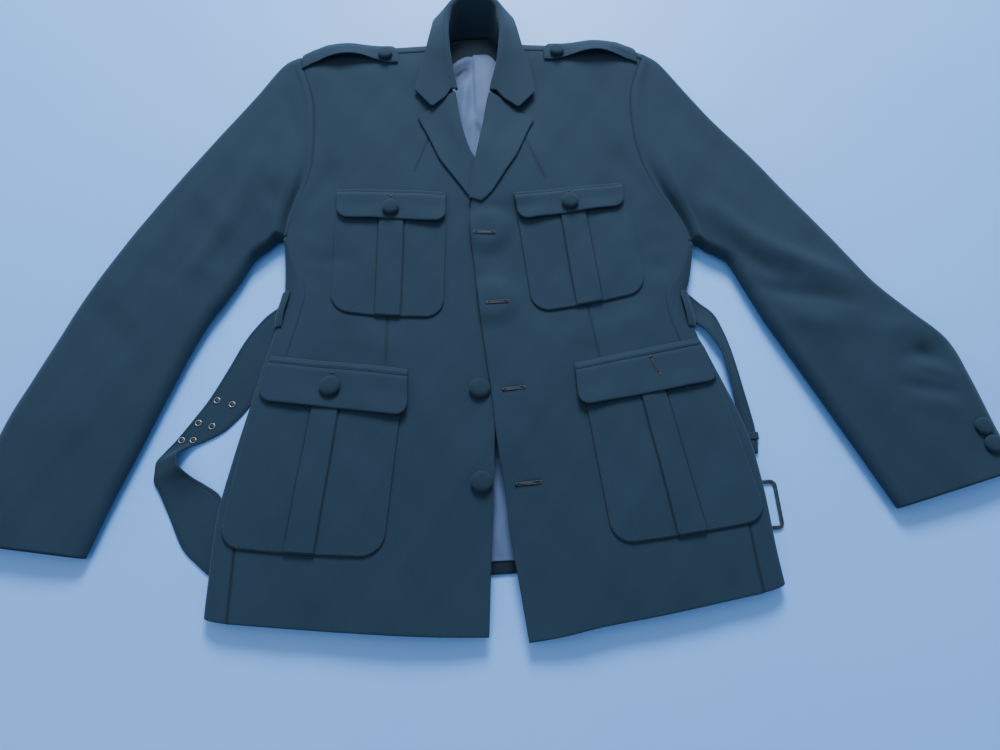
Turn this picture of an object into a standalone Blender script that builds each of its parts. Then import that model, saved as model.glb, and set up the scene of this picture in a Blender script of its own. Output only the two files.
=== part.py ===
"""A safari jacket of wool twill, laid flat on its back with the fronts closed by hand.

The jacket lies on z = 0 with its collar towards +Y. Left and right are the wearer's, so the
right side lies at -X. Sizes are in millimetres in the tables, and "out" is a distance from the
centre back line towards the side that a row belongs to.
"""

import math

import bpy
import numpy as np

MM = 0.001
SIGN = {"right": -1.0, "left": 1.0}

# Cloth
WALL = 2.4  # outer cloth, interlining and lining of a body panel
TRIM = 2.1  # cloth of pockets, flaps, lapels and straps
SATIN = 1.2
GAP = 0.3  # between two pieces at a seam
HOME = (-8.0, 351.07)  # middle of the finished outline, which goes to the origin

# Body
UNDERARM = {"right": 404.0, "left": 372.0}  # where the side seam meets the sleeve
EDGE_HEIGHT = 9.0  # the widest part of the rolled side above the floor
TOP_ROLL = 26.0  # width of the side's roll over the top
FLOOR_ROLL = 45.0  # width of the roll below it, where belt and buckle slip under
SIDE_TUCK = 35.0  # side panel that lies flat on the floor past the roll
SLEEVE_CLEARANCE = 0.8  # between the top of the side panel and the sleeve's rolled edge
SHOULDER_ROLL = 22.0
SHOULDER_HEIGHT = 38.0
SHOULDER_SEAM = 0.5  # between the top of a front and the back's roll
BUTTON_RADIUS = 11.5
BUTTON_HEIGHT = 7.0
HIDDEN_BUTTON_HEIGHT = 4.6  # a button pressed flat under the left front
BAG_LIFT = 0.6  # a pocket's bag over the front, and how much more over the rolled side
BAG_ROLL_LIFT = 0.6
FLAP_LIFT = (1.0, 4.2, 1.4)  # a flap over the front: at its seam, more over its bag, flare
PLEAT_RAISE = 1.8
PLEAT = {"chest": (0.38, 0.6), "lower": (0.41, 0.59)}  # its edges, shares of the bag's width


def table(names, *rows):
    """The columns of a table by name."""
    return dict(zip(names.split(), np.array(rows, float).T))


def curve(rows, key, value):
    """A smooth line through two columns of a table, which never overshoots its rows."""
    x, y = rows[key], rows[value]
    slope = np.gradient(y, x)
    step = np.diff(y) / np.diff(x)
    before, after = np.append(step[:1], step), np.append(step, step[-1:])
    limit = 3 * np.minimum(np.abs(before), np.abs(after)) * (before * after > 0)
    slope = np.clip(slope, -limit, limit)

    def at(where):
        where = np.clip(where, x[0], x[-1])
        i = np.clip(np.searchsorted(x, where) - 1, 0, len(x) - 2)
        width = x[i + 1] - x[i]
        s = (where - x[i]) / width
        ends = y[i] * (1 + 2 * s) * (1 - s) ** 2 + y[i + 1] * s * s * (3 - 2 * s)
        return ends + width * s * (1 - s) * (slope[i] * (1 - s) - slope[i + 1] * s)

    return at


def ease(start, stop, value):
    """0 before start, 1 after stop, and smooth between them."""
    share = np.clip((value - start) / (stop - start), 0, 1)
    return share * share * (3 - 2 * share)


SIDE_EDGE = table(
    "y right left",
    (-75, 300.5, 283),
    (0, 299, 279),
    (80, 294.5, 277),
    (130, 284.5, 272),
    (200, 268, 252),
    (250, 256, 235),
    (300, 243.5, 228),
    (325, 239, 236),
    (372, 240.5, 246.5),
    (404, 243.5, 250),
)
ARMHOLE = {
    "right": table(
        "y out",
        (404, 238.3),
        (428, 234.5),
        (451, 227),
        (475, 217),
        (505, 210.5),
        (551, 209),
        (600, 212.5),
        (632, 221),
        (652, 227),
    ),
    "left": table(
        "y out",
        (372, 241.3),
        (398, 234.5),
        (421, 224),
        (445, 211),
        (475, 199.5),
        (506, 193),
        (545, 191),
        (593, 196),
        (616, 204),
        (636, 213),
    ),
}
# The front edge, the roll line of the lapel above it, and the neck seam above that
FRONT_EDGE = {
    "right": table(
        "y out",
        (-64, 19),
        (0, 14),
        (80, 7),
        (150, 2),
        (200, -3),
        (250, -9),
        (300, -14),
        (400, -15),
        (436, -10),
        (494, 6),
        (545, 17),
        (597, 28),
        (630, 39),
        (664, 48),
    ),
    "left": table(
        "y out",
        (-70, 20),
        (0, 12),
        (40, 7),
        (80, 5),
        (137, -1),
        (188, -4),
        (255, -10),
        (345, -16),
        (400, -19),
        (436, -16),
        (494, -6),
        (545, 5),
        (597, 16),
        (630, 28),
        (661, 38),
    ),
}
FRONT_HEM = {
    "right": table("out y", (-20, -62), (19, -61), (86, -57), (145, -51), (204, -44), (274, -35)),
    "left": table("out y", (-20, -70), (20, -68), (50, -65), (90, -58), (145, -51), (257, -34)),
}
BACK_HEM_DROP = 20.0  # how much lower the back's hem lies at the sides than in the middle
# Middle of the shoulder's roll in plan; the back rises from the floor there
CREST = {
    "right": table("out y", (48, 664), (80, 663), (120, 662), (160, 665), (195, 664), (213, 659), (227, 652)),
    "left": table("out y", (38, 661), (70, 658), (110, 654), (150, 653), (185, 650), (201, 643), (213, 636)),
}
NECK = table(  # the back's neck: middle of its roll, and the angle up to which it turns
    "x y angle",
    (-60, 664, 90),
    (-48, 666, 40),
    (-36, 680, -10),
    (-20, 698, -45),
    (0, 704, -60),
    (18, 698, -45),
    (29, 680, -10),
    (38, 664, 40),
    (50, 661, 90),
)
HEIGHT = table(  # top of the fronts, at the side seam or armhole and on the crown
    "y seam crown",
    (-75, 18, 19),
    (60, 18, 21),
    (200, 18, 22),
    (320, 18, 22),
    (404, 19, 24.5),
    (450, 23, 27.5),
    (520, 28, 30.5),
    (600, 33.5, 34),
    (650, 38, 38),
    (700, 38, 38),
)
CROWN_RUN = 110.0  # how far in from the seam the crown is reached
LAP = table(  # how far the left front is lifted where it laps over the right one
    "y lift", (-75, 0), (60, 0), (150, 3.4), (420, 4.2), (438, 6.4), (494, 6.8), (545, 2), (580, 0), (700, 0)
)
LAP_REACH = (12, 115)
EDGE_DROOP = 4.0  # the free lower corners of the fronts sink towards the back
# Rows of the panels, where they meet the front edge and the side seam or armhole
ROWS_IN = (-62, -25, 25, 80, 130, 175, 220, 262, 301, 346, 394, 435, 465, 494, 520, 545, 572, 597, 630, 664)
ROWS_OUT = {
    "right": (-35, 10, 60, 110, 160, 205, 250, 290, 325, 365, 404, 428, 451, 475, 505, 535, 567, 600, 628, 652),
    "left": (-34, 10, 60, 110, 160, 205, 240, 272, 302, 338, 372, 398, 421, 445, 475, 506, 540, 575, 608, 636),
}
UNDERARM_ROW = 10
COLUMNS = (0, 0.033, 0.066, 0.11, 0.177, 0.218, 0.26, 0.343, 0.45, 0.564, 0.675, 0.785, 0.86, 0.93, 1)
FOLDS = {  # soft ridges and troughs of the fronts and sleeves, along a line from 1 to 2
    "right": table(
        "out1 y1 out2 y2 width height",
        (233, 418, 262, 470, 11, -3.0),
        (232, 470, 285, 520, 16, 2.0),
        (214, 440, 190, 500, 16, -1.6),
        (330, 420, 300, 520, 20, -1.5),
        (400, 260, 460, 330, 18, -2.0),
        (240, 330, 190, 350, 14, -1.6),
        (75, 250, 190, 268, 16, 1.2),
    ),
    "left": table(
        "out1 y1 out2 y2 width height",
        (262, 372, 345, 312, 12, -4.0),
        (285, 385, 410, 300, 16, 2.6),
        (452, 205, 520, 222, 12, -4.5),
        (430, 240, 505, 248, 14, 2.6),
        (232, 420, 260, 500, 18, 2.0),
        (205, 440, 188, 500, 15, -1.6),
        (228, 320, 180, 352, 14, -1.8),
        (75, 250, 190, 268, 16, 1.2),
    ),
}
BUTTON_ROWS = table("y x hidden", (92, -19, 0), (196, -16.8, 0), (301, 1, 1), (394, 0, 1))


def side_edge(side, y):
    return curve(SIDE_EDGE, "y", side)(y)


def armhole(side, y):
    """The armhole seam; over the shoulder it runs straight back."""
    return curve(ARMHOLE[side], "y", "out")(np.minimum(y, CREST[side]["y"][-1]))


def below_underarm(side, y):
    """1 well below the underarm and 0 at it, where the side panel runs out."""
    return 1 - ease(UNDERARM[side] - 80, UNDERARM[side], y)


def top_roll(side, y):
    return 5 + (TOP_ROLL - 5) * below_underarm(side, y)


def floor_roll(side, y):
    return 8 + (FLOOR_ROLL - 8) * below_underarm(side, y)


def side_tuck(side, y):
    return 3 + (SIDE_TUCK - 3) * below_underarm(side, y)


def seam_out(side, y):
    """The side seam on top, and the armhole above it."""
    low = side_edge(side, y) - top_roll(side, y)
    return np.where(y < UNDERARM[side], low, armhole(side, y))


def floor_out(side, y):
    """The back's own edge on the floor."""
    low = side_edge(side, y) - floor_roll(side, y) - side_tuck(side, y) - GAP
    return np.where(y < UNDERARM[side] - GAP, low, armhole(side, y))


def crest(side, out):
    rows = CREST[side]
    return np.interp(out, rows["out"], rows["y"])


def fold_height(side, out, y):
    """The sum of the soft folds at a place."""
    total = np.zeros(np.broadcast(out, y).shape)
    rows = FOLDS[side]
    for x1, y1, x2, y2, width, height in zip(*(rows[name] for name in rows)):
        length = math.hypot(x2 - x1, y2 - y1)
        ux, uy = (x2 - x1) / length, (y2 - y1) / length
        run = (out - x1) * ux + (y - y1) * uy
        off = (out - x1) * uy - (y - y1) * ux
        fade = ease(-0.25 * length, 0.3 * length, run) * ease(1.25 * length, 0.7 * length, run)
        total = total + height * fade * np.exp(-((off / width) ** 2))
    return total


def cloth_top(side, out, y):
    """Height of the jacket's upper surface, over the front and the rolled side."""
    out, y = np.broadcast_arrays(np.asarray(out, float), np.asarray(y, float))
    seam = seam_out(side, y)
    edge, crown = curve(HEIGHT, "y", "seam")(y), curve(HEIGHT, "y", "crown")(y)
    rise = np.sin(np.clip((seam - out) / CROWN_RUN, 0, 1) * math.pi / 2) ** 2
    top = edge + (crown - edge) * rise
    inside = ease(0, 25, seam - out) * ease(670, 625, y)
    top = top + fold_height(side, out, y) * inside
    top = top - EDGE_DROOP * ease(75, 10, out) * ease(150, 20, y)
    if side == "left":
        near = ease(LAP_REACH[1], LAP_REACH[0], out)
        top = top + curve(LAP, "y", "lift")(y) * near
        for row_y, x, hidden in zip(*(BUTTON_ROWS[name] for name in BUTTON_ROWS)):
            reach = np.hypot(out - x, y - row_y)
            top = top + hidden * HIDDEN_BUTTON_HEIGHT * ease(37, BUTTON_RADIUS + 3, reach)
    share = np.clip((out - seam) / top_roll(side, y), 0, 1)
    rolled = EDGE_HEIGHT + (edge - EDGE_HEIGHT) * np.sqrt(1 - share**2)
    return np.where((out > seam) & (y < UNDERARM[side]), rolled, top)


def world(side, out, y, z):
    """Points in metres from outward distances and heights in millimetres."""
    out, y, z = np.broadcast_arrays(out, y, z)
    points = np.stack([SIGN[side] * out - HOME[0], y - HOME[1], z], axis=-1)
    return points.astype(float) * MM


def cloth(name, colour, roughness=0.85, metallic=0.0):
    material = bpy.data.materials.new(name)
    material.use_nodes = True
    shader = material.node_tree.nodes["Principled BSDF"]
    shader.inputs["Base Color"].default_value = (*colour, 1)
    shader.inputs["Roughness"].default_value = roughness
    shader.inputs["Metallic"].default_value = metallic
    return material


def add_solid(name, points, faces, material):
    """One closed object, its faces turned to point out."""
    points = np.asarray(points, float)
    volume = 0.0
    for face in faces:
        for i in range(1, len(face) - 1):
            a, b, c = points[face[0]], points[face[i]], points[face[i + 1]]
            volume += np.dot(a, np.cross(b, c))
    if volume < 0:
        faces = [tuple(reversed(face)) for face in faces]
    mesh = bpy.data.meshes.new(name)
    mesh.from_pydata([tuple(point) for point in points], [], faces)
    mesh.materials.append(material)
    mesh.shade_smooth()
    mesh.set_sharp_from_angle(angle=math.radians(40))
    mesh.update()
    obj = bpy.data.objects.new(name, mesh)
    bpy.context.scene.collection.objects.link(obj)
    return obj


def wall(name, outer, inner, material):
    """A panel of cloth between two grids of points, closed along its four edges."""
    rows, columns = outer.shape[:2]
    count = rows * columns
    faces = []
    for i in range(rows - 1):
        for j in range(columns - 1):
            a = i * columns + j
            quad = (a, a + 1, a + columns + 1, a + columns)
            faces.append(quad)
            faces.append(tuple(count + k for k in reversed(quad)))
    rim = list(range(columns))
    rim += [i * columns + columns - 1 for i in range(1, rows)]
    rim += [(rows - 1) * columns + j for j in range(columns - 2, -1, -1)]
    rim += [i * columns for i in range(rows - 2, 0, -1)]
    for a, b in zip(rim, rim[1:] + rim[:1]):
        faces.append((b, a, count + a, count + b))
    points = np.concatenate([outer.reshape(-1, 3), inner.reshape(-1, 3)])
    return add_solid(name, points, faces, material)


def hoop(name, rings, material):
    """A closed ring of closed sections."""
    turns, sides = rings.shape[:2]
    faces = []
    for i in range(turns):
        for j in range(sides):
            a, b = i * sides, ((i + 1) % turns) * sides
            k = (j + 1) % sides
            faces.append((a + j, a + k, b + k, b + j))
    return add_solid(name, rings.reshape(-1, 3), faces, material)


def surface_normals(grid):
    """Unit normals of a grid of points, from its neighbours."""
    along = np.gradient(grid, axis=0)
    across = np.gradient(grid, axis=1)
    normal = np.cross(across, along)
    return normal / np.linalg.norm(normal, axis=-1, keepdims=True)


# Body panels


def front_plan(side):
    """Rows and columns of a front in plan, from the hem to the shoulder seam."""
    inner_y, outer_y = np.array(ROWS_IN, float), np.array(ROWS_OUT[side], float)
    hem = curve(FRONT_HEM[side], "out", "y")
    inner_y[0] = hem(curve(FRONT_EDGE[side], "y", "out")(inner_y[0]))
    outer_y[0] = hem(seam_out(side, outer_y[0]))
    inner_y[-1] = CREST[side]["y"][0]
    inner_out = curve(FRONT_EDGE[side], "y", "out")(inner_y)
    outer_out = seam_out(side, outer_y) - GAP
    low_in, low_out = hem(inner_out), hem(outer_out)
    share_in = (inner_y - low_in) / (crest(side, inner_out) - low_in)
    share_out = (outer_y - low_out) / (crest(side, outer_out) - low_out)
    share_in[-1] = share_out[-1] = 1
    u = np.array(COLUMNS)[None, :]
    out = inner_out[:, None] * (1 - u) + outer_out[:, None] * u
    share = share_in[:, None] * (1 - u) + share_out[:, None] * u
    low, high = hem(out), crest(side, out) - SHOULDER_SEAM
    return out, low + (high - low) * share


def make_front(side, material):
    out, y = front_plan(side)
    top = cloth_top(side, out, y)
    wall(f"front_{side}", world(side, out, y, top), world(side, out, y, top - WALL), material)


def side_section(side, y, inset):
    """Outward distances and heights of the side panel, from the floor round to the top seam."""
    edge, high = side_edge(side, y), curve(HEIGHT, "y", "seam")(y)
    low_roll, high_roll = floor_roll(side, y), top_roll(side, y)
    flat = edge - low_roll - side_tuck(side, y) * np.array([1, 0.5])
    quarter = np.radians(np.linspace(-90, 0, 6))
    low_out = edge - low_roll + (low_roll - inset) * np.cos(quarter)
    low_z = EDGE_HEIGHT + (EDGE_HEIGHT - inset) * np.sin(quarter)
    rise = np.radians(np.linspace(0, 90, 7)[1:])
    high_out = edge - high_roll + (high_roll - inset) * np.cos(rise)
    high_z = EDGE_HEIGHT + (high - EDGE_HEIGHT - inset) * np.sin(rise)
    out = np.concatenate([flat, low_out, high_out])
    z = np.concatenate([np.full(2, inset), low_z, high_z])
    return out, z


def side_grid(side, inset):
    grids = []
    for i, y in enumerate(ROWS_OUT[side][: UNDERARM_ROW + 1]):
        out, z = side_section(side, y, inset)
        if i == UNDERARM_ROW:
            y -= SLEEVE_CLEARANCE
        if i == 0:
            share = np.linspace(0, 1, len(out))
            y = back_hem(out[0]) * (1 - share) + y * share
        grids.append(world(side, out, y, z))
    return np.stack(grids)


def make_side(side, material):
    wall(f"side_{side}", side_grid(side, 0), side_grid(side, WALL), material)


def back_columns():
    """Columns of the back where they cross the shoulders' crest, from right to left."""
    right = [-out for out in reversed(CREST["right"]["out"])][:-1]
    neck = [-60, -54, -48, -42, -36, -28, -20, 0, 18, 24, 29, 33.5, 38, 44, 50]
    left = list(CREST["left"]["out"])[1:]
    return np.array(right + neck + left)


def back_crest(x):
    """The middle of the back's roll, over both shoulders and the neck between them."""
    plain = np.where(x < 0, crest("right", -x), crest("left", x))
    inside = (x > NECK["x"][0]) & (x < NECK["x"][-1])
    return np.where(inside, np.interp(x, NECK["x"], NECK["y"]), plain)


def back_hem(x):
    return -BACK_HEM_DROP * (np.abs(x) / 220) ** 2


def back_flat(x, end_y, inset):
    """A row of the back that lies on the floor, given where it meets the two sides."""
    columns = back_columns()
    w = (x - columns[0]) / (columns[-1] - columns[0])
    out, share = {}, {}
    for side in SIGN:
        out[side] = float(floor_out(side, end_y[side]))
        low = back_hem(out[side])
        share[side] = (end_y[side] - low) / (CREST[side]["y"][-1] - low)
    plan_x = -out["right"] * (1 - w) + out["left"] * w
    low = back_hem(plan_x)
    y = low + (back_crest(x) - low) * (share["right"] * (1 - w) + share["left"] * w)
    return np.stack([plan_x, y, np.full_like(x, inset)], axis=-1)


def back_rolled(x, share, inset):
    """A row of the back that turns up over the shoulders, with a shorter turn in the neck."""
    angle = np.interp(x, NECK["x"], NECK["angle"])
    turn = np.radians(-90 + share * (angle + 90))
    half = SHOULDER_HEIGHT / 2
    y = back_crest(x) + (SHOULDER_ROLL - inset) * np.cos(turn)
    z = half + (half - inset) * np.sin(turn)
    return np.stack([x, y, z], axis=-1)


def back_grid(inset, turns=6):
    x = back_columns()
    rows = []
    for i in range(len(ROWS_IN) - 1):
        end_y = {side: ROWS_OUT[side][i] for side in SIGN}
        if i == 0:
            end_y = {side: back_hem(float(floor_out(side, -BACK_HEM_DROP))) for side in SIGN}
        if i == UNDERARM_ROW:
            end_y = {side: UNDERARM[side] - 0.4 for side in SIGN}
        rows.append(back_flat(x, end_y, inset))
    rows += [back_rolled(x, i / turns, inset) for i in range(turns + 1)]
    grid = np.stack(rows)
    return world("left", grid[..., 0], grid[..., 1], grid[..., 2])


def make_back(material):
    wall("back", back_grid(0), back_grid(WALL), material)


LINING_HEM = 13.0  # the lining stops short of the back's hem
LINING_TOP = 15.0  # and below the middle of the neck's roll
NECK_FACING_WALL = 1.8
NECK_COLUMNS = (-44, -36, -28, -20, -10, 0, 10, 18, 24, 29, 34)


def make_lining(material):
    """The satin inside the back, from above the hem to the neck facing."""
    w = np.linspace(0, 1, 11)
    rows = []
    for share in np.linspace(0, 1, 9):
        reach = {}
        for side in SIGN:
            y_end = 8 + (CREST[side]["y"][-1] - 20 - 8) * share
            reach[side] = floor_out(side, y_end) - 6
        x = -reach["right"] * (1 - w) + reach["left"] * w
        low, high = back_hem(x) + LINING_HEM, back_crest(x) - LINING_TOP
        rows.append(np.stack([x, low + (high - low) * share], axis=-1))
    plan = np.stack(rows)
    low = WALL + GAP
    grids = [world("left", plan[..., 0], plan[..., 1], z) for z in (low + SATIN, low)]
    wall("lining_back", *grids, material)


def make_neck_facing(material):
    x = np.array(NECK_COLUMNS, float)
    grids = []
    low = WALL + GAP + SATIN + GAP
    for inset in (low + NECK_FACING_WALL, low):
        rows = []
        for short in (LINING_TOP + 4, LINING_TOP / 2):
            rows.append(np.stack([x, back_crest(x) - short, np.full_like(x, inset)], axis=-1))
        rows += [back_rolled(x, share, inset) for share in np.linspace(0, 0.97, 6)]
        grid = np.stack(rows)
        grids.append(world("left", grid[..., 0], grid[..., 1], grid[..., 2]))
    wall("neck_facing", *grids, material)


# Sleeves

SLEEVE = {  # outer and inner edge in plan, and the height on top, from the armhole to the cuff
    "right": table(
        "out1 y1 out2 y2 top",
        (227.3, 674, 239.3, 404.6, 38),
        (250, 665, 251, 403, 33),
        (288, 613, 262, 391, 30),
        (332, 555, 277, 377, 27),
        (374, 497, 290, 351, 25),
        (411, 441, 305, 325, 24),
        (443, 386, 321, 300, 24),
        (470, 334, 338, 265, 24),
        (491, 284, 352, 230, 24),
        (511, 237, 366, 195, 24),
        (531, 190, 383, 150, 23),
        (550, 126, 404, 97, 22),
        (566, 62, 425, 37, 21),
    ),
    "left": table(
        "out1 y1 out2 y2 top",
        (213.3, 658, 243.3, 372.6, 38),
        (236, 642, 254, 371.2, 33),
        (266, 594, 262, 362, 30),
        (294, 551, 272, 355, 27),
        (338, 489, 283, 346, 26),
        (377, 427, 289, 332, 25),
        (414, 368, 296, 312, 25),
        (448, 310, 305, 288, 25),
        (484, 266, 315, 262, 25),
        (517, 227, 328, 233, 24),
        (529, 180, 346, 193, 24),
        (540, 124, 377, 123, 22),
        (550, 77, 412, 43, 21),
    ),
}
FROM_ARMHOLE = (1, 0.72, 0.45, 0.22, 0.08, 0, 0, 0, 0, 0, 0, 0, 0)  # share of the armhole's form
SLEEVE_ARCH = 3.5  # how much lower the sleeve's top is beside its rolls
SLEEVE_EDGE = {"outer": (15, 30, 12), "inner": (14, 26, 12)}  # roll on top, on the floor, and tuck
ARMHOLE_EDGE = {"outer": (22, 22, 3), "inner": (5, 8, 3)}
MIDDLE_HEIGHT = 10.0


def mixed(first, second, share):
    return tuple(a * share + b * (1 - share) for a, b in zip(first, second))


class Sleeve:
    """The form of one sleeve, ring by ring from the armhole to the cuff."""

    def __init__(self, side):
        self.side = side
        rows = SLEEVE[side]
        self.outer = np.stack([rows["out1"], rows["y1"]], axis=-1)
        self.inner = np.stack([rows["out2"], rows["y2"]], axis=-1)
        self.top = rows["top"]
        self.armhole_rows = np.array(ROWS_OUT[side][UNDERARM_ROW + 1 :][::-1], float)

    def widths(self, ring):
        share = FROM_ARMHOLE[ring]
        outer = mixed(ARMHOLE_EDGE["outer"], SLEEVE_EDGE["outer"], share)
        inner = mixed(ARMHOLE_EDGE["inner"], SLEEVE_EDGE["inner"], share)
        return outer, inner

    def width(self, ring):
        return float(np.linalg.norm(self.inner[ring] - self.outer[ring]))

    def shares(self, margin_out, margin_in):
        """Where the armhole's rows cross the first ring, as shares between two margins."""
        y = self.armhole_rows
        run = (self.outer[0][1] - y) / (self.outer[0][1] - self.inner[0][1]) * self.width(0)
        return np.clip((run - margin_out) / (self.width(0) - margin_out - margin_in), 0, 1)

    def plan(self, ring, distance):
        """The place in plan at a distance from the outer edge of a ring."""
        share = np.asarray(distance, float) / self.width(ring)
        chord = self.outer[ring] + (self.inner[ring] - self.outer[ring]) * share[..., None]
        first = self.outer[0] + (self.inner[0] - self.outer[0]) * share[..., None]
        bow = (armhole(self.side, first[..., 1]) + GAP - first[..., 0]) * FROM_ARMHOLE[ring]
        return chord[..., 0] + bow, chord[..., 1]

    def height(self, ring, distance):
        share = np.asarray(distance, float) / self.width(ring)
        y = self.outer[0][1] + (self.inner[0][1] - self.outer[0][1]) * share
        body = cloth_top(self.side, armhole(self.side, y), y)
        own = self.top[ring] - SLEEVE_ARCH * (2 * share - 1) ** 2
        out, plan_y = self.plan(ring, distance)
        fold = fold_height(self.side, out, plan_y) * ease(0, 0.25, share) * ease(1, 0.75, share)
        near = FROM_ARMHOLE[ring]
        return body * near + own * (1 - near) + fold * (1 - near)

    def middle(self, ring, armhole_height):
        near = FROM_ARMHOLE[ring]
        return armhole_height * near + MIDDLE_HEIGHT * (1 - near)

    def upper(self, ring, inset):
        """Section of the upper sleeve, from its outer edge on the floor to its inner one."""
        outer, inner = self.widths(ring)
        width = self.width(ring)
        fall = np.radians(np.linspace(-90, 0, 5))
        rise = np.radians(np.linspace(0, 90, 6)[1:])
        parts = []
        ends = (
            (outer, self.middle(ring, SHOULDER_HEIGHT / 2), outer[0]),
            (inner, self.middle(ring, EDGE_HEIGHT), width - inner[0]),
        )
        for (roll, floor, tuck), middle, distance in ends:
            top = self.height(ring, np.array([distance]))[0]
            flat = [floor + tuck, floor + tuck / 2]
            low = floor - (floor - inset) * np.cos(fall)
            high = roll - (roll - inset) * np.cos(rise)
            reach = np.concatenate([flat, low, high])
            low_z = middle + (middle - inset) * np.sin(fall)
            high_z = middle + (top - middle - inset) * np.sin(rise)
            parts.append((reach, np.concatenate([[inset, inset], low_z, high_z])))
        span = width - outer[0] - inner[0]
        middle_run = outer[0] + span * self.shares(ARMHOLE_EDGE["outer"][0], ARMHOLE_EDGE["inner"][0])[1:]
        distance = np.concatenate([parts[0][0], middle_run, width - parts[1][0][::-1]])
        heights = np.concatenate([parts[0][1], self.height(ring, middle_run) - inset, parts[1][1][::-1]])
        out, y = self.plan(ring, distance)
        return world(self.side, out, y, heights)

    def under(self, ring, inset):
        """Section of the under sleeve, flat on the floor between the upper sleeve's edges."""
        outer, inner = self.widths(ring)
        start = outer[1] + outer[2] + GAP
        stop = self.width(ring) - inner[1] - inner[2] - GAP
        first = sum(ARMHOLE_EDGE["outer"][1:]) + GAP
        last = sum(ARMHOLE_EDGE["inner"][1:]) + GAP
        share = np.concatenate([[0], self.shares(first, last)[1:], [1]])
        out, y = self.plan(ring, start + (stop - start) * share)
        return world(self.side, out, y, np.full(len(share), float(inset)))


def make_sleeve(side, material):
    sleeve = Sleeve(side)
    rings = range(len(FROM_ARMHOLE))
    for name, section in (("upper_sleeve", sleeve.upper), ("under_sleeve", sleeve.under)):
        grids = [np.stack([section(ring, inset) for ring in rings]) for inset in (0.0, WALL)]
        wall(f"{name}_{side}", *grids, material)


# Lapels and collar

LAPEL = {  # outer edge of each lapel, row by row from its break to its tip; the roll's y first
    "right": table(
        "roll out y",
        (437, 3, 431),
        (452, 17, 441),
        (470, 28, 458),
        (494, 40, 477),
        (515, 52, 496),
        (540, 61, 519),
        (565, 70, 541),
        (582, 75, 552),
        (596.5, 78, 561),
    ),
    "left": table(
        "roll out y",
        (436, -4, 431),
        (452, 8, 442),
        (470, 19, 458),
        (492, 30, 475),
        (512, 41, 492),
        (535, 50, 511),
        (560, 58, 530),
        (578, 63, 540),
        (593.5, 67, 548),
    ),
}
LAPEL_COLUMNS = (0.12, 0.25, 0.4, 0.55, 0.7, 0.85, 1)
LAPEL_LIFT = 0.5
ROLL_LIFT = 2.5


def make_lapel(side, material):
    """The turned-out top of a front, rolled round the front's edge."""
    rows = LAPEL[side]
    roll_y = rows["roll"][:, None]
    roll = curve(FRONT_EDGE[side], "y", "out")(roll_y)
    share = np.array(LAPEL_COLUMNS)[None, :]
    out = roll + (rows["out"][:, None] - roll) * share
    y = roll_y + (rows["y"][:, None] - roll_y) * share
    open_part = ease(500, 560, roll_y) * np.exp(-(((share - 0.15) / 0.25) ** 2))
    base = cloth_top(side, out, y) + ROLL_LIFT * open_part
    edge = cloth_top(side, roll, roll_y)
    curl = {  # distance in from the roll line and height over the front, outside and inside
        "outer": ((-2.7, -2.0), (-2.7, 0.9), (-1.4, 2.3)),
        "inner": ((-0.5, -2.0), (-0.5, 0.3), (0.2, 0.5)),
    }
    grids = []
    for face, lift in (("outer", LAPEL_LIFT + TRIM), ("inner", LAPEL_LIFT)):
        curl_out = np.concatenate([roll + step for step, _ in curl[face]], axis=1)
        curl_z = np.concatenate([edge + rise for _, rise in curl[face]], axis=1)
        curl_y = np.repeat(roll_y, len(curl[face]), axis=1)
        grids.append(
            world(
                side,
                np.concatenate([curl_out, out], axis=1),
                np.concatenate([curl_y, y], axis=1),
                np.concatenate([curl_z, base + lift], axis=1),
            )
        )
    wall(f"lapel_{side}", *grids, material)


COLLAR = table(  # neck seam, roll and edge of the leaf, from the right end round the back
    "nx ny nz rx ry rz ex ey ez dip",
    (-29, 598.5, 34.4, -27.5, 598.5, 38.8, -81, 600, 38, 28),
    (-34, 612, 35.6, -29, 612, 42, -77, 616, 39, 12),
    (-40, 631, 37.2, -31, 632, 47, -70, 640, 41.5, 3),
    (-48, 655, 39.4, -33, 657, 53, -64, 667, 44.5, 0),
    (-47.5, 683.5, 33, -34.5, 690, 56, -58, 698, 40, 0),
    (-36, 704, 18, -33, 720, 56, -53, 731, 26, 0),
    (-20, 717, 8.5, -20, 742, 55, -34, 759, 14, 0),
    (0, 721, 5.5, 0, 750, 55, -1, 768, 12, 0),
    (18, 717, 8.5, 19, 742, 55, 32, 759, 14, 0),
    (29, 704, 18, 31, 720, 56, 49, 730, 26, 0),
    (38, 681.5, 33, 31.5, 690, 56, 54, 696, 40, 0),
    (39, 652, 39.4, 27, 655, 53, 59, 661, 44.5, 0),
    (30, 627, 37.2, 23, 628, 47, 66, 635, 41.5, 3),
    (22, 608, 35.6, 17, 608, 42, 70, 608, 39, 11),
    (16.5, 594.5, 34.4, 15, 594.5, 38.8, 71, 588, 38, 26),
)
NECK_END = 665.0  # in front of it the collar's foot stands on the fronts
COLLAR_FOOT = 3.0
NOTCH = 0.6  # where across the leaf its end meets the lapel's notch
COLLAR_WALL = 2.4
ROLL_SOFTNESS = 8.0


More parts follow.
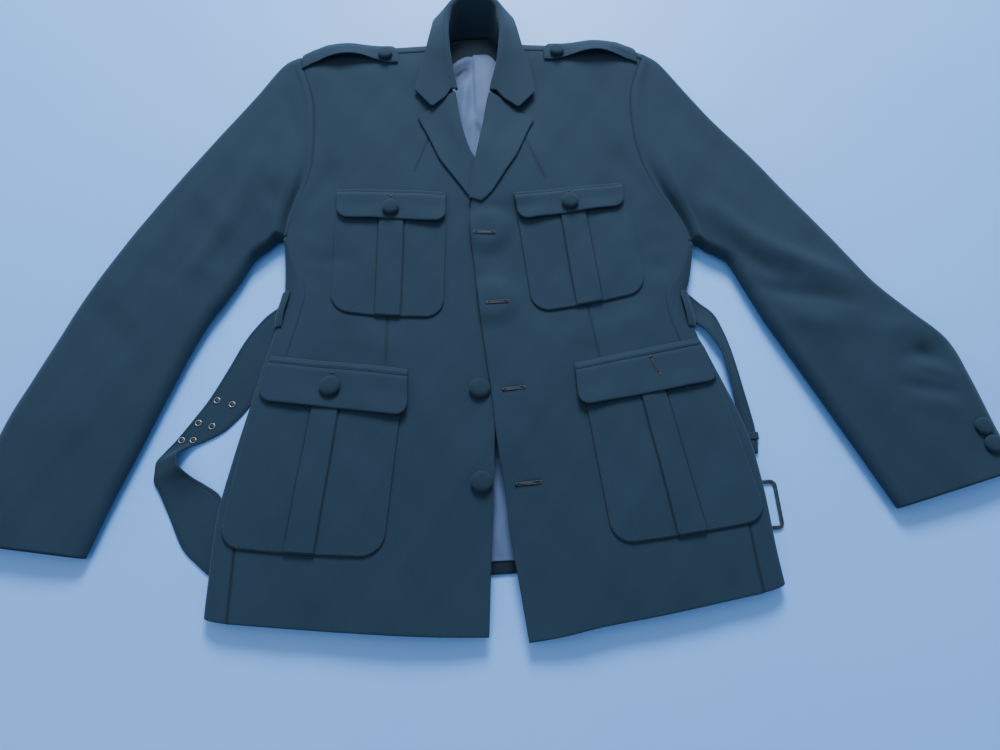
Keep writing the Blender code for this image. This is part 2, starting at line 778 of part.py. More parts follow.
def collar_section(row):
    """Stand, roll and leaf of the collar at one place round the neck."""
    neck, roll, edge = (np.array([row[f"{k}{axis}"] for axis in "xyz"]) for k in "nre")
    if neck[1] < NECK_END:
        side = "right" if neck[0] < 0 else "left"
        neck[2] = cloth_top(side, abs(neck[0]), neck[1]) + COLLAR_FOOT
    stand, leaf = neck - roll, edge - roll
    soft_in = min(ROLL_SOFTNESS, 0.45 * np.linalg.norm(stand)) / np.linalg.norm(stand)
    soft_out = ROLL_SOFTNESS / np.linalg.norm(leaf)
    points = [neck, roll + stand * (1 - 0.35 * (1 - soft_in)), roll + stand * (soft_in * 0.5 + 0.3)]
    start, stop = roll + stand * soft_in, roll + leaf * soft_out
    for s in (0.0, 0.33, 0.67, 1.0):
        points.append(start * (1 - s) ** 2 + roll * 2 * s * (1 - s) + stop * s * s)
    for share in (0.28, 0.44, NOTCH, 0.8, 1.0):
        points.append(roll + leaf * share)
    points = np.array(points)
    share = np.concatenate([np.zeros(7), [0.28, 0.44, NOTCH, 0.8, 1.0]])
    dip = np.minimum(share / NOTCH, (1 - share) / (1 - NOTCH)) * row["dip"]
    points[:, 1] -= dip
    return points


def make_collar(material):
    count = len(COLLAR["nx"])
    rows = [{name: COLLAR[name][i] for name in COLLAR} for i in range(count)]
    outer = np.stack([collar_section(row) for row in rows])
    normal = surface_normals(outer)
    inner = outer - normal * COLLAR_WALL
    grids = [world("left", grid[..., 0], grid[..., 1], grid[..., 2]) for grid in (outer, inner)]
    wall("collar", *grids, material)


# Pockets

POCKETS = {  # corners of each bag in plan: top and bottom, inner and outer, and the round of it
    "chest_pocket_right": ("right", ((46, 435), (179, 445), (54, 285), (183, 301)), 21, -4),
    "chest_pocket_left": ("left", ((37, 427), (172, 440), (48, 284), (181, 307)), 21, -3),
    "lower_pocket_right": ("right", ((100, 200), (260, 226), (122, 20), (290, 40)), 24, -2),
    "lower_pocket_left": ("left", ((95, 202), (241, 222), (111, 20), (273, 38)), 22, -2),
}
FLAPS = {
    "chest_flap_right": ("right", ((46, 449), (178, 462), (48, 406), (177, 420.5)), 13),
    "chest_flap_left": ("left", ((35, 440.5), (168.5, 454), (40, 402), (167, 419)), 13),
    "lower_flap_right": ("right", ((94.5, 222), (248, 248.5), (95.5, 166), (258.5, 195)), 15),
    "lower_flap_left": ("left", ((89, 219.5), (231.5, 245), (89, 167), (248, 192)), 15),
}
EDGE_CLEARANCE = 6.0  # a bag stays this far inside the side's outline
BAG_COLUMNS = (0, 0.09, 0.19, 0.3, 0.505, 0.71, 0.81, 0.9, 0.96, 1)
BAG_ROWS = (0, 0.18, 0.4, 0.6, 0.78)
FLAP_COLUMNS = (0, 0.1, 0.24, 0.38, 0.5, 0.62, 0.76, 0.9, 1)


def patch_plan(corners, radius, columns, rows, sag=0.0):
    """A four-sided patch in plan with two round lower corners."""
    top_in, top_out, low_in, low_out = (np.array(corner, float) for corner in corners)
    height = np.linalg.norm((top_in + top_out - low_in - low_out) / 2)
    width = np.linalg.norm(low_out - low_in)
    round_rows = [1 - radius / height * share for share in (1, 0.6, 0.28, 0.07, 0)]
    rows = [row for row in rows if row < round_rows[0] - 0.03] + round_rows
    u, v = np.meshgrid(np.array(columns), np.array(rows))
    left = (1 - v) * height
    cut = np.where(left < radius, radius - np.sqrt(np.clip(radius**2 - (radius - left) ** 2, 0, None)), 0)
    across = cut / width + u * (1 - 2 * cut / width)
    top = top_in + (top_out - top_in) * across[..., None]
    low = low_in + (low_out - low_in) * across[..., None]
    plan = top + (low - top) * v[..., None]
    plan[..., 1] += sag * np.sin(math.pi * across) * v
    return plan[..., 0], plan[..., 1], u, v


def make_bag(name, material):
    """A patch pocket with a raised box pleat down its middle."""
    side, corners, radius, sag = POCKETS[name]
    first, last = PLEAT[name.split("_")[0]]
    step = 0.012
    columns = sorted(BAG_COLUMNS + (first - step, first, last, last + step))
    out, y, u, _ = patch_plan(corners, radius, columns, BAG_ROWS, sag)
    out = np.minimum(out, side_edge(side, y) - EDGE_CLEARANCE)
    steep = ease(-5, 12, out - seam_out(side, y))
    low = cloth_top(side, out, y) + BAG_LIFT + BAG_ROLL_LIFT * steep
    raised = ((u > first - step / 2) & (u < last + step / 2)) * PLEAT_RAISE
    wall(name, world(side, out, y, low + TRIM + raised), world(side, out, y, low), material)


def make_flap(name, material):
    side, corners, radius = FLAPS[name]
    out, y, _, v = patch_plan(corners, radius, FLAP_COLUMNS, (0, 0.1, 0.22, 0.4, 0.6))
    held = np.minimum(out, side_edge(side, y) - 12)
    at_seam, over_bag, flare = FLAP_LIFT
    low = cloth_top(side, held, y) + at_seam + over_bag * ease(0, 0.26, v) + flare * ease(0.5, 1, v)
    wall(name, world(side, out, y, low + TRIM), world(side, out, y, low), material)


# Shoulder straps

STRAP = {  # front and back edge across the shoulder, measured over it from its crest
    "right": table(
        "out front back",
        (226, -14, 23),
        (205, -15, 23),
        (180, -13, 23),
        (150, -9, 22),
        (125, -13, 19),
        (110, -16, 13),
        (102, -16, 2),
    ),
    "left": table(
        "out front back",
        (207, -13, 23),
        (190, -14, 23),
        (170, -12, 23),
        (140, -9, 22),
        (112, -12, 19),
        (95, -15, 13),
        (87, -15, 2),
    ),
}
STRAP_BUTTON = {"right": (118, -4), "left": (104, -3)}
STRAP_ARCH = 3.0


def over_shoulder(side, out, run, rise):
    """The place on the shoulder at a run behind its crest (in front when negative), moved out."""
    half = SHOULDER_HEIGHT / 2
    angle = np.clip(run, 0, None) / (half + 1)
    y = crest(side, out) + np.minimum(run, 0) + (SHOULDER_ROLL + rise) * np.sin(angle)
    flat = cloth_top(side, out, crest(side, out) + np.minimum(run, 0)) + rise
    z = np.where(run < 0, flat, half + (half + rise) * np.cos(angle))
    return y, z


def strap_rise(side, out):
    ends = STRAP[side]["out"]
    share = (ends[0] - out) / (ends[0] - ends[-1])
    return 1.0 + STRAP_ARCH * np.sin(math.pi * np.clip(share * 1.25, 0, 1)) ** 2


def make_strap(side, material):
    rows = STRAP[side]
    out = rows["out"][:, None] + np.zeros((1, 9))
    share = np.linspace(0, 1, 9)[None, :]
    run = rows["front"][:, None] + (rows["back"] - rows["front"])[:, None] * share
    rise = strap_rise(side, out)
    grids = []
    for thick in (TRIM, 0):
        y, z = over_shoulder(side, out, run, rise + thick)
        grids.append(world(side, out, y, z))
    wall(f"shoulder_strap_{side}", *grids, material)


# Buttons

BUTTON_PROFILE = table(  # a covered button: shank, rim and dome, as shares of radius and height
    "radius height",
    (0.34, 0.0),
    (0.9, 0.2),
    (1.0, 0.5),
    (0.85, 0.8),
    (0.5, 0.96),
)


def make_button(name, centre, normal, radius, height, material, sides=14):
    """A domed button whose shank stands on a point of the cloth."""
    normal = np.array(normal, float) / np.linalg.norm(normal)
    across = np.cross([0, 1, 0], normal)
    across /= np.linalg.norm(across)
    along = np.cross(normal, across)
    turn = np.linspace(0, 2 * math.pi, sides, endpoint=False)
    ring = np.cos(turn)[:, None] * across + np.sin(turn)[:, None] * along
    points = [centre]
    for share, rise in zip(BUTTON_PROFILE["radius"], BUTTON_PROFILE["height"]):
        points += list(centre + (ring * share * radius + normal * rise * height) * MM)
    points.append(centre + normal * height * MM)
    faces = []
    rings = len(BUTTON_PROFILE["radius"])
    for i in range(sides):
        j = (i + 1) % sides
        faces.append((0, 1 + j, 1 + i))
        for k in range(rings - 1):
            a, b = 1 + k * sides, 1 + (k + 1) * sides
            faces.append((a + i, a + j, b + j, b + i))
        last = 1 + (rings - 1) * sides
        faces.append((last + i, last + j, last + sides))
    add_solid(name, points, faces, material)


def seat(side, out, y, rise):
    """A button's foot on the cloth and the cloth's normal there."""
    step = 4.0
    z = cloth_top(side, out, y)
    slope_out = (cloth_top(side, out + step, y) - cloth_top(side, out - step, y)) / (2 * step)
    slope_y = (cloth_top(side, out, y + step) - cloth_top(side, out, y - step)) / (2 * step)
    centre = world(side, out, y, z + rise + GAP)
    return centre, (-SIGN[side] * float(slope_out), -float(slope_y), 1.0)


FLAP_BUTTONS = {  # place in plan on each flap that is buttoned, and the button's radius
    "button_chest_right": ("right", 112, 427, 10.0),
    "button_chest_left": ("left", 101.5, 424, 10.0),
    "button_lower_right": ("right", 178.5, 205, BUTTON_RADIUS),
}
CUFF_BUTTONS = {
    "right": ((536, 116), (541.5, 96.5)),
    "left": ((520.5, 124), (525.5, 104)),
}


def make_buttons(material):
    flap_top = FLAP_LIFT[0] + FLAP_LIFT[1] + TRIM
    for name, (side, out, y, radius) in FLAP_BUTTONS.items():
        centre, normal = seat(side, out, y, flap_top + 0.7)
        make_button(name, centre, normal, radius, BUTTON_HEIGHT, material)
    for i, (y, x, hidden) in enumerate(zip(*(BUTTON_ROWS[name] for name in BUTTON_ROWS))):
        centre, normal = seat("right", -x, y, 0.1)
        height = HIDDEN_BUTTON_HEIGHT - 0.6 if hidden else BUTTON_HEIGHT
        normal = (0, 0, 1) if hidden else normal
        make_button(f"button_front_{i + 1}", centre, normal, BUTTON_RADIUS, height, material)
    for side, (out, run) in STRAP_BUTTON.items():
        y, z = over_shoulder(side, np.array(out), np.array(run), strap_rise(side, out) + TRIM + GAP + 0.2)
        centre = world(side, out, y, z)
        make_button(f"button_strap_{side}", centre, (0, 0.05, 1), BUTTON_RADIUS - 1, 6.5, material)
    for side, places in CUFF_BUTTONS.items():
        for number, (out, y) in enumerate(places, 1):
            centre, normal = cuff_seat(side, out, y)
            make_button(f"button_cuff_{side}_{number}", centre, normal, 9.8, 6.0, material)


def cuff_seat(side, out, y):
    """A foot on the upper sleeve, found between the last two rings near the outer edge."""
    sleeve = Sleeve(side)
    near, far = len(FROM_ARMHOLE) - 2, len(FROM_ARMHOLE) - 1
    best = None
    for ring_share in np.linspace(0, 1, 60):
        edges = [e[near] * (1 - ring_share) + e[far] * ring_share for e in (sleeve.outer, sleeve.inner)]
        across = (edges[1] - edges[0]) / np.linalg.norm(edges[1] - edges[0])
        offset = np.array([out, y]) - edges[0]
        distance = float(offset @ across)
        miss = float(np.linalg.norm(offset - across * distance))
        if best is None or miss < best[0]:
            best = (miss, distance, ring_share)
    _, distance, ring_share = best
    roll, middle = SLEEVE_EDGE["outer"][0], MIDDLE_HEIGHT
    top = sleeve.height(near, np.array([max(distance, roll)]))[0] * (1 - ring_share)
    top += sleeve.height(far, np.array([max(distance, roll)]))[0] * ring_share
    share = np.clip(1 - distance / roll, 0, 1)
    z = middle + (top - middle) * math.sqrt(1 - share**2)
    lean = 0.5 * share
    return world(side, out, y, z + GAP + 0.3), (SIGN[side] * lean, 0.0, 1.0)


# Belt

BELT_THICK = 2.0
BELT = {  # the two edges of each stretch that shows, with their heights on the floor side
    "right": table(
        "out1 y1 z1 out2 y2 z2",
        (241, 322, 0.4, 236, 291, 1.1),
        (252, 315, 0, 241, 276, 0),
        (265, 303, 0, 247, 262, 0),
        (283, 278, 0, 254, 240, 0),
        (300, 243, 0, 262, 219, 0),
        (318, 208, 0, 275, 194, 0),
        (335, 182, 0.5, 297, 170, 0.5),
        (350, 161, 0.5, 318, 158, 1),
        (361, 147, 1, 333, 151, 6),
        (369, 134, 0.5, 342, 140, 15),
        (369, 119, 0.5, 339, 130, 15),
        (360, 100, 0.5, 328, 119, 8),
        (348, 76, 0, 314, 110, 2),
        (332, 44, 0, 299, 99, 0),
        (315, 26, 0, 291, 85, 0),
        (292, 6, 0, 284, 66, 0.8),
    ),
    "left": table(
        "out1 y1 z1 out2 y2 z2",
        (234, 309, 2.2, 224, 287, 2.4),
        (246, 296, 1.3, 232, 275, 3),
        (259, 282, 1.3, 243, 262, 8),
        (266, 262, 1.3, 252, 245, 10),
        (271, 240, 1.3, 258, 232, 10),
        (275, 212, 1.3, 261, 208, 9),
        (278, 185, 1.3, 264, 184, 6),
        (281, 160, 1.3, 266, 161, 2.5),
        (282.5, 140, 1.3, 269, 141, 1.3),
        (282.5, 125, 1.3, 269, 126, 1.3),
        (281, 112, 1.3, 269, 113, 1.3),
    ),
}
EYELETS = table(  # the belt's row and the share across it where each one sits, and its rise there
    "row share rise",
    (5, 0.2, 0.05),
    (5, 0.6, 0.05),
    (6, 0.2, 0.05),
    (6, 0.6, 0.05),
    (7, 0.2, 0.3),
    (7, 0.6, 0.8),
)
EYELET_RADIUS, EYELET_HOLE = 4.2, 2.3
BUCKLE = {"x": (267, 294.5), "y": (30, 83), "corner": 7, "width": 4.0, "thick": 2.0, "floor": 0.3}
KEEPER = {"x": (270.5, 285), "y": (128, 136), "thick": 1.0, "inner": 2.6}


def make_belt(side, material):
    rows = BELT[side]
    share = np.linspace(0, 1, 5)[None, :]
    grid = []
    for k in ("out", "y", "z"):
        grid.append(rows[f"{k}1"][:, None] * (1 - share) + rows[f"{k}2"][:, None] * share)
    low = np.stack(grid, axis=-1)
    normal = surface_normals(low)
    normal = normal * np.sign(normal[..., 2:3].mean())
    high = low + normal * BELT_THICK
    grids = [world(side, *np.moveaxis(points, -1, 0)) for points in (high, low)]
    wall(f"belt_{side}", *grids, material)


def make_eyelet(number, row, share, rise, material, sides=10):
    """A pressed metal ring on the belt's upper face."""
    edges = []
    for edge in "12":
        edges.append(np.stack([BELT["right"][f"{k}{edge}"] for k in ("out", "y", "z")], axis=-1))
    middle = edges[0] + (edges[1] - edges[0]) * share
    centre = middle[row]
    across = (edges[1] - edges[0])[row]
    across /= np.linalg.norm(across)
    along = middle[row + 1] - middle[row - 1]
    along -= across * np.dot(along, across)
    along /= np.linalg.norm(along)
    normal = np.cross(along, across)
    normal *= np.sign(normal[2])
    turn = np.linspace(0, 2 * math.pi, sides, endpoint=False)[:, None, None]
    radius = np.array([EYELET_HOLE, EYELET_RADIUS, EYELET_RADIUS - 0.5, EYELET_HOLE + 0.5])[None, :, None]
    height = np.array([0.0, 0.0, 0.8, 1.1])[None, :, None] + BELT_THICK + GAP + rise
    ring = centre + radius * (np.cos(turn) * across + np.sin(turn) * along) + height * normal
    hoop(f"belt_eyelet_{number}", world("right", *np.moveaxis(ring, -1, 0)), material)


def rounded_loop(x, y, corner, steps=5):
    """A rectangle with round corners, as points round it."""
    points = []
    centres = ((x[1] - corner, y[1] - corner), (x[0] + corner, y[1] - corner))
    centres += ((x[0] + corner, y[0] + corner), (x[1] - corner, y[0] + corner))
    for quarter, (cx, cy) in enumerate(centres):
        for step in range(steps):
            angle = math.pi / 2 * (quarter + step / (steps - 1))
            points.append((cx + corner * math.cos(angle), cy + corner * math.sin(angle)))
    return np.array(points)


def make_buckle(material):
    """The flat wire frame that looks out from under the left side."""
    width, low = BUCKLE["width"], BUCKLE["floor"]
    outer = rounded_loop(BUCKLE["x"], BUCKLE["y"], BUCKLE["corner"])
    x = (BUCKLE["x"][0] + width, BUCKLE["x"][1] - width)
    y = (BUCKLE["y"][0] + width, BUCKLE["y"][1] - width)
    inner = rounded_loop(x, y, BUCKLE["corner"] - width)
    high = low + BUCKLE["thick"]
    corners = [(outer, low), (outer, high), (inner, high), (inner, low)]
    rings = [world("left", points[:, 0], points[:, 1], z) for points, z in corners]
    hoop("belt_buckle", np.stack(rings, axis=1), material)


def make_keeper(material):
    """A cloth loop round the belt's edge, below the left waist."""
    (x1, x2), thick, inner = KEEPER["x"], KEEPER["thick"], KEEPER["inner"]
    high = 2 * thick + inner
    outer = [(x1, high), (x2 - 1, high), (x2, high - 1), (x2, 1), (x2 - 1, 0), (x1, 0)]
    close = x2 - thick
    inside = [(x1, high - thick), (close - 0.3, high - thick), (close, high - thick - 0.3)]
    inside += [(close, thick + 0.3), (close - 0.3, thick), (x1, thick)]
    grids = []
    for section in (outer, inside):
        x, z = np.array(section, float).T
        grids.append(np.stack([world("left", x, np.full(len(x), float(y)), z) for y in KEEPER["y"]]))
    wall("belt_keeper", *grids, material)


BELT_LOOP = {"right": (286, 332), "left": (262, 308)}
LOOP_STAND = 3.2
LOOP_WALL = 1.5


def make_belt_loop(side, material):
    """A narrow strip that stands off the rolled side, fast at both ends."""
    low_y, high_y = BELT_LOOP[side]
    angles = np.radians(np.linspace(2, 50, 5))
    grids = []
    for thick in (LOOP_WALL, 0):
        rows = []
        for share in np.linspace(0, 1, 9):
            y = low_y + (high_y - low_y) * share
            stand = GAP + 0.4 + LOOP_STAND * math.sin(math.pi * share) ** 0.8 + thick
            edge, high = side_edge(side, y), float(curve(HEIGHT, "y", "seam")(y))
            roll = top_roll(side, y)
            out = edge - roll + (roll + stand) * np.cos(angles)
            z = EDGE_HEIGHT + (high - EDGE_HEIGHT + stand) * np.sin(angles)
            rows.append(world(side, out, np.full(5, y), z))
        grids.append(np.stack(rows))
    wall(f"belt_loop_{side}", *grids, material)


def main():
    for obj in list(bpy.data.objects):
        bpy.data.objects.remove(obj)
    twill = cloth("wool_twill", (0.031, 0.070, 0.117))
    satin = cloth("lining_satin", (0.107, 0.178, 0.332), 0.45)
    covered = cloth("covered_button", (0.028, 0.062, 0.105), 0.8)
    metal = cloth("dark_metal", (0.09, 0.10, 0.12), 0.35, 1.0)
    make_back(twill)
    make_lining(satin)
    make_neck_facing(twill)
    for side in SIGN:
        make_side(side, twill)
        make_front(side, twill)
        make_sleeve(side, twill)
        make_lapel(side, twill)
        make_strap(side, twill)
        make_belt(side, twill)
        make_belt_loop(side, twill)
    make_collar(twill)
    for name in POCKETS:
        make_bag(name, twill)
    for name in FLAPS:
        make_flap(name, twill)
    make_buttons(covered)
    for number, (row, share, rise) in enumerate(zip(*EYELETS.values()), 1):
        make_eyelet(number, int(row), share, rise, metal)
    make_buckle(metal)
    make_keeper(twill)


main()
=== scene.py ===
"""Dresses the jacket: fine cloth shells, seams, stitches, weave, lining, metal and light.

Lengths are in millimetres until a mesh is made. Left and right are the wearer's, "out" is the
distance from the centre back line towards a side, and the grids run from hem to shoulder and
from the front edge to the side seam.
"""

import math

import bpy
import numpy as np
from mathutils import Matrix, Vector


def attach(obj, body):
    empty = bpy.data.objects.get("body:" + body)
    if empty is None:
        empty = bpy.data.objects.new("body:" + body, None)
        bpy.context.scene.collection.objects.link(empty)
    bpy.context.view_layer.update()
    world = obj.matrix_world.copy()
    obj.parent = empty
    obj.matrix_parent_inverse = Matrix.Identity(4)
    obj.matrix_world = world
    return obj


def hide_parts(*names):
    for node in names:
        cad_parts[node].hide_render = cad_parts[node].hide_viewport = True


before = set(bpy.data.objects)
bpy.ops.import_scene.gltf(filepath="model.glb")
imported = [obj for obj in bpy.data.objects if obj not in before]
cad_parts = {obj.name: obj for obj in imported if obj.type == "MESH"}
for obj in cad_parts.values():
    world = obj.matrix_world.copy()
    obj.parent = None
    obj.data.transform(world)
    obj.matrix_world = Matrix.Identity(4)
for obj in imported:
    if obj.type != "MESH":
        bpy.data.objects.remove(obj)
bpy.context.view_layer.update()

MM = 0.001
SIGN = {"right": -1.0, "left": 1.0}

# Cloth
WALL = 2.4  # outer cloth, interlining and lining of a body panel
TRIM = 2.1  # cloth of pockets, flaps, lapels and straps
SATIN = 1.2
GAP = 0.3  # between two pieces at a seam
HOME = (-8.0, 351.07)  # middle of the finished outline, which goes to the origin

# Body
UNDERARM = {"right": 404.0, "left": 372.0}  # where the side seam meets the sleeve
EDGE_HEIGHT = 9.0  # the widest part of the rolled side above the floor
# Widths of the side well below the underarm and at it, where the panel runs out
TOP_ROLL = (26.0, 5.0)  # the roll over the top
FLOOR_ROLL = (45.0, 8.0)  # the roll below it, where belt and buckle slip under
SIDE_TUCK = (35.0, 3.0)  # side panel that lies flat on the floor past the roll
UNDERARM_RUN = 80.0  # how far below the underarm they start to narrow
SLEEVE_CLEARANCE = 0.8  # between the top of the side panel and the sleeve's rolled edge
SHOULDER_ROLL = 22.0
SHOULDER_HEIGHT = 38.0
SHOULDER_SEAM = 0.5  # between the top of a front and the back's roll
BUTTON_RADIUS = 11.5
BUTTON_HEIGHT = 7.0
HIDDEN_BUTTON_HEIGHT = 4.6  # a button pressed flat under the left front
BAG_LIFT = 0.6  # a pocket's bag over the front, and how much more over the rolled side
BAG_ROLL_LIFT = 0.6
FLAP_LIFT = (1.0, 4.2, 1.4)  # a flap over the front: at its seam, more over its bag, flare
PLEAT_RAISE = 1.8
PLEAT = {"chest": (0.38, 0.6), "lower": (0.41, 0.59)}  # its edges, shares of the bag's width


def table(names, *rows):
    """The columns of a table by name."""
    return dict(zip(names.split(), np.array(rows, float).T))


def curve(rows, key, value):
    """A smooth line through two columns of a table, which never overshoots its rows."""
    x, y = rows[key], rows[value]
    slope = np.gradient(y, x)
    step = np.diff(y) / np.diff(x)
    before, after = np.append(step[:1], step), np.append(step, step[-1:])
    limit = 3 * np.minimum(np.abs(before), np.abs(after)) * (before * after > 0)
    slope = np.clip(slope, -limit, limit)

    def at(where):
        where = np.clip(where, x[0], x[-1])
        i = np.clip(np.searchsorted(x, where) - 1, 0, len(x) - 2)
        width = x[i + 1] - x[i]
        s = (where - x[i]) / width
        ends = y[i] * (1 + 2 * s) * (1 - s) ** 2 + y[i + 1] * s * s * (3 - 2 * s)
        return ends + width * s * (1 - s) * (slope[i] * (1 - s) - slope[i + 1] * s)

    return at


def ease(start, stop, value):
    """0 before start, 1 after stop, and smooth between them."""
    share = np.clip((value - start) / (stop - start), 0, 1)
    return share * share * (3 - 2 * share)


SIDE_EDGE = table(
    "y right left",
    (-75, 300.5, 283),
    (0, 299, 279),
    (80, 294.5, 277),
    (130, 284.5, 272),
    (200, 268, 252),
    (250, 256, 235),
    (300, 243.5, 228),
    (325, 239, 236),
    (372, 240.5, 246.5),
    (404, 243.5, 250),
)
ARMHOLE = {
    "right": table(
        "y out",
        (404, 238.3),
        (428, 234.5),
        (451, 227),
        (475, 217),
        (505, 210.5),
        (551, 209),
        (600, 212.5),
        (632, 221),
        (652, 227),
    ),
    "left": table(
        "y out",
        (372, 241.3),
        (398, 234.5),
        (421, 224),
        (445, 211),
        (475, 199.5),
        (506, 193),
        (545, 191),
        (593, 196),
        (616, 204),
        (636, 213),
    ),
}
# The front edge, the roll line of the lapel above it, and the neck seam above that
FRONT_EDGE = {
    "right": table(
        "y out",
        (-64, 19),
        (0, 14),
        (80, 7),
        (150, 2),
        (200, -3),
        (250, -9),
        (300, -14),
        (400, -15),
        (436, -10),
        (494, 9),
        (508, 16),
        (528, 22),
        (554, 27),
        (597, 32),
        (630, 39),
        (664, 48),
    ),
    "left": table(
        "y out",
        (-70, 20),
        (0, 12),
        (40, 7),
        (80, 5),
        (137, -1),
        (188, -4),
        (255, -10),
        (345, -16),
        (400, -19),
        (436, -16),
        (494, -6),
        (545, 5),
        (597, 16),
        (630, 28),
        (661, 38),
    ),
}
FRONT_HEM = {
    "right": table("out y", (-20, -62), (19, -61), (86, -57), (145, -51), (204, -44), (274, -35)),
    "left": table("out y", (-20, -70), (20, -68), (50, -65), (90, -58), (145, -51), (257, -34)),
}
BACK_HEM_DROP = 20.0  # how much lower the back's hem lies at the sides than in the middle
# Middle of the shoulder's roll in plan; the back rises from the floor there
CREST = {
    "right": table("out y", (48, 664), (80, 663), (120, 662), (160, 665), (195, 664), (213, 659), (227, 652)),
    "left": table("out y", (38, 661), (70, 658), (110, 654), (150, 653), (185, 650), (201, 643), (213, 636)),
}
NECK = table(  # the back's neck: middle of its roll, and the angle up to which it turns
    "x y angle",
    (-60, 664, 90),
    (-48, 666, 40),
    (-36, 680, -10),
    (-20, 698, -45),
    (0, 704, -60),
    (18, 698, -45),
    (29, 680, -10),
    (38, 664, 40),
    (50, 661, 90),
)
HEIGHT = table(  # top of the fronts, at the side seam or armhole and on the crown
    "y seam crown",
    (-75, 18, 19),
    (60, 18, 21),
    (200, 18, 22),
    (320, 18, 22),
    (404, 19, 24.5),
    (450, 23, 27.5),
    (520, 28, 30.5),
    (600, 33.5, 34),
    (650, 38, 38),
    (700, 38, 38),
)
CROWN_RUN = 110.0  # how far in from the seam the crown is reached
LAP = table(  # how far the left front is lifted where it laps over the right one
    "y lift", (-75, 0), (60, 0), (150, 3.4), (420, 4.2), (438, 6.4), (494, 6.8), (545, 2), (580, 0), (700, 0)
)
LAP_REACH = (12, 115)
EDGE_DROOP = 4.0  # the free lower corners of the fronts sink towards the back
# Rows of the panels, where they meet the front edge and the side seam or armhole
ROWS_IN = (-62, -25, 25, 80, 130, 175, 220, 262, 301, 346, 394, 435, 465, 494, 520, 545, 572, 597, 630, 664)
ROWS_OUT = {
    "right": (
        -35, 10, 60, 110, 160, 205, 250, 290, 325, 365, 404,
        428, 451, 475, 505, 535, 567, 600, 628, 652,
    ),
    "left": (
        -34, 10, 60, 110, 160, 205, 240, 272, 302, 338, 372,
        398, 421, 445, 475, 506, 540, 575, 608, 636,
    ),
}
UNDERARM_ROW = 10
FOLDS = {  # soft ridges and troughs of the fronts and sleeves, along a line from 1 to 2
    "right": table(
        "out1 y1 out2 y2 width height",
        (233, 418, 262, 470, 11, -3.0),
        (232, 470, 285, 520, 16, 2.0),
        (214, 440, 190, 500, 16, -1.6),
        (330, 420, 300, 520, 20, -1.5),
        (400, 260, 460, 330, 18, -2.0),
        (240, 330, 190, 350, 14, -1.6),
        (75, 250, 190, 268, 16, 1.2),
    ),
    "left": table(
        "out1 y1 out2 y2 width height",
        (262, 372, 345, 312, 12, -4.0),
        (285, 385, 410, 300, 16, 2.6),
        (452, 205, 520, 222, 12, -4.5),
        (430, 240, 505, 248, 14, 2.6),
        (232, 420, 260, 500, 18, 2.0),
        (205, 440, 188, 500, 15, -1.6),
        (228, 320, 180, 352, 14, -1.8),
        (75, 250, 190, 268, 16, 1.2),
    ),
}
BUTTON_ROWS = table("y x hidden", (92, -19, 0), (196, -16.8, 0), (301, 1, 1), (394, 0, 1))


def side_edge(side, y):
    return curve(SIDE_EDGE, "y", side)(y)


def armhole(side, y):
    """The armhole seam; over the shoulder it runs straight back."""
    return curve(ARMHOLE[side], "y", "out")(np.minimum(y, CREST[side]["y"][-1]))


def narrowed(widths, side, y):
    """A width of the side, which narrows towards the underarm."""
    wide, least = widths
    return least + (wide - least) * (1 - ease(UNDERARM[side] - UNDERARM_RUN, UNDERARM[side], y))


def top_roll(side, y):
    return narrowed(TOP_ROLL, side, y)


def floor_roll(side, y):
    return narrowed(FLOOR_ROLL, side, y)


def side_tuck(side, y):
    return narrowed(SIDE_TUCK, side, y)


def seam_out(side, y):
    """The side seam on top, and the armhole above it."""
    low = side_edge(side, y) - top_roll(side, y)
    return np.where(y < UNDERARM[side], low, armhole(side, y))


def floor_out(side, y):
    """The back's own edge on the floor."""
    low = side_edge(side, y) - floor_roll(side, y) - side_tuck(side, y) - GAP
    return np.where(y < UNDERARM[side] - GAP, low, armhole(side, y))


def crest(side, out):
    rows = CREST[side]
    return np.interp(out, rows["out"], rows["y"])


def sum_folds(rows, out, y):
    """The sum of a table's folds at a place."""
    total = np.zeros(np.broadcast(out, y).shape)
    for x1, y1, x2, y2, width, height in zip(*rows.values()):
        length = math.hypot(x2 - x1, y2 - y1)
        ux, uy = (x2 - x1) / length, (y2 - y1) / length
        run = (out - x1) * ux + (y - y1) * uy
        off = (out - x1) * uy - (y - y1) * ux
        fade = ease(-0.25 * length, 0.3 * length, run) * ease(1.25 * length, 0.7 * length, run)
        total = total + height * fade * np.exp(-((off / width) ** 2))
    return total


def fold_height(side, out, y):
    return sum_folds(FOLDS[side], out, y)


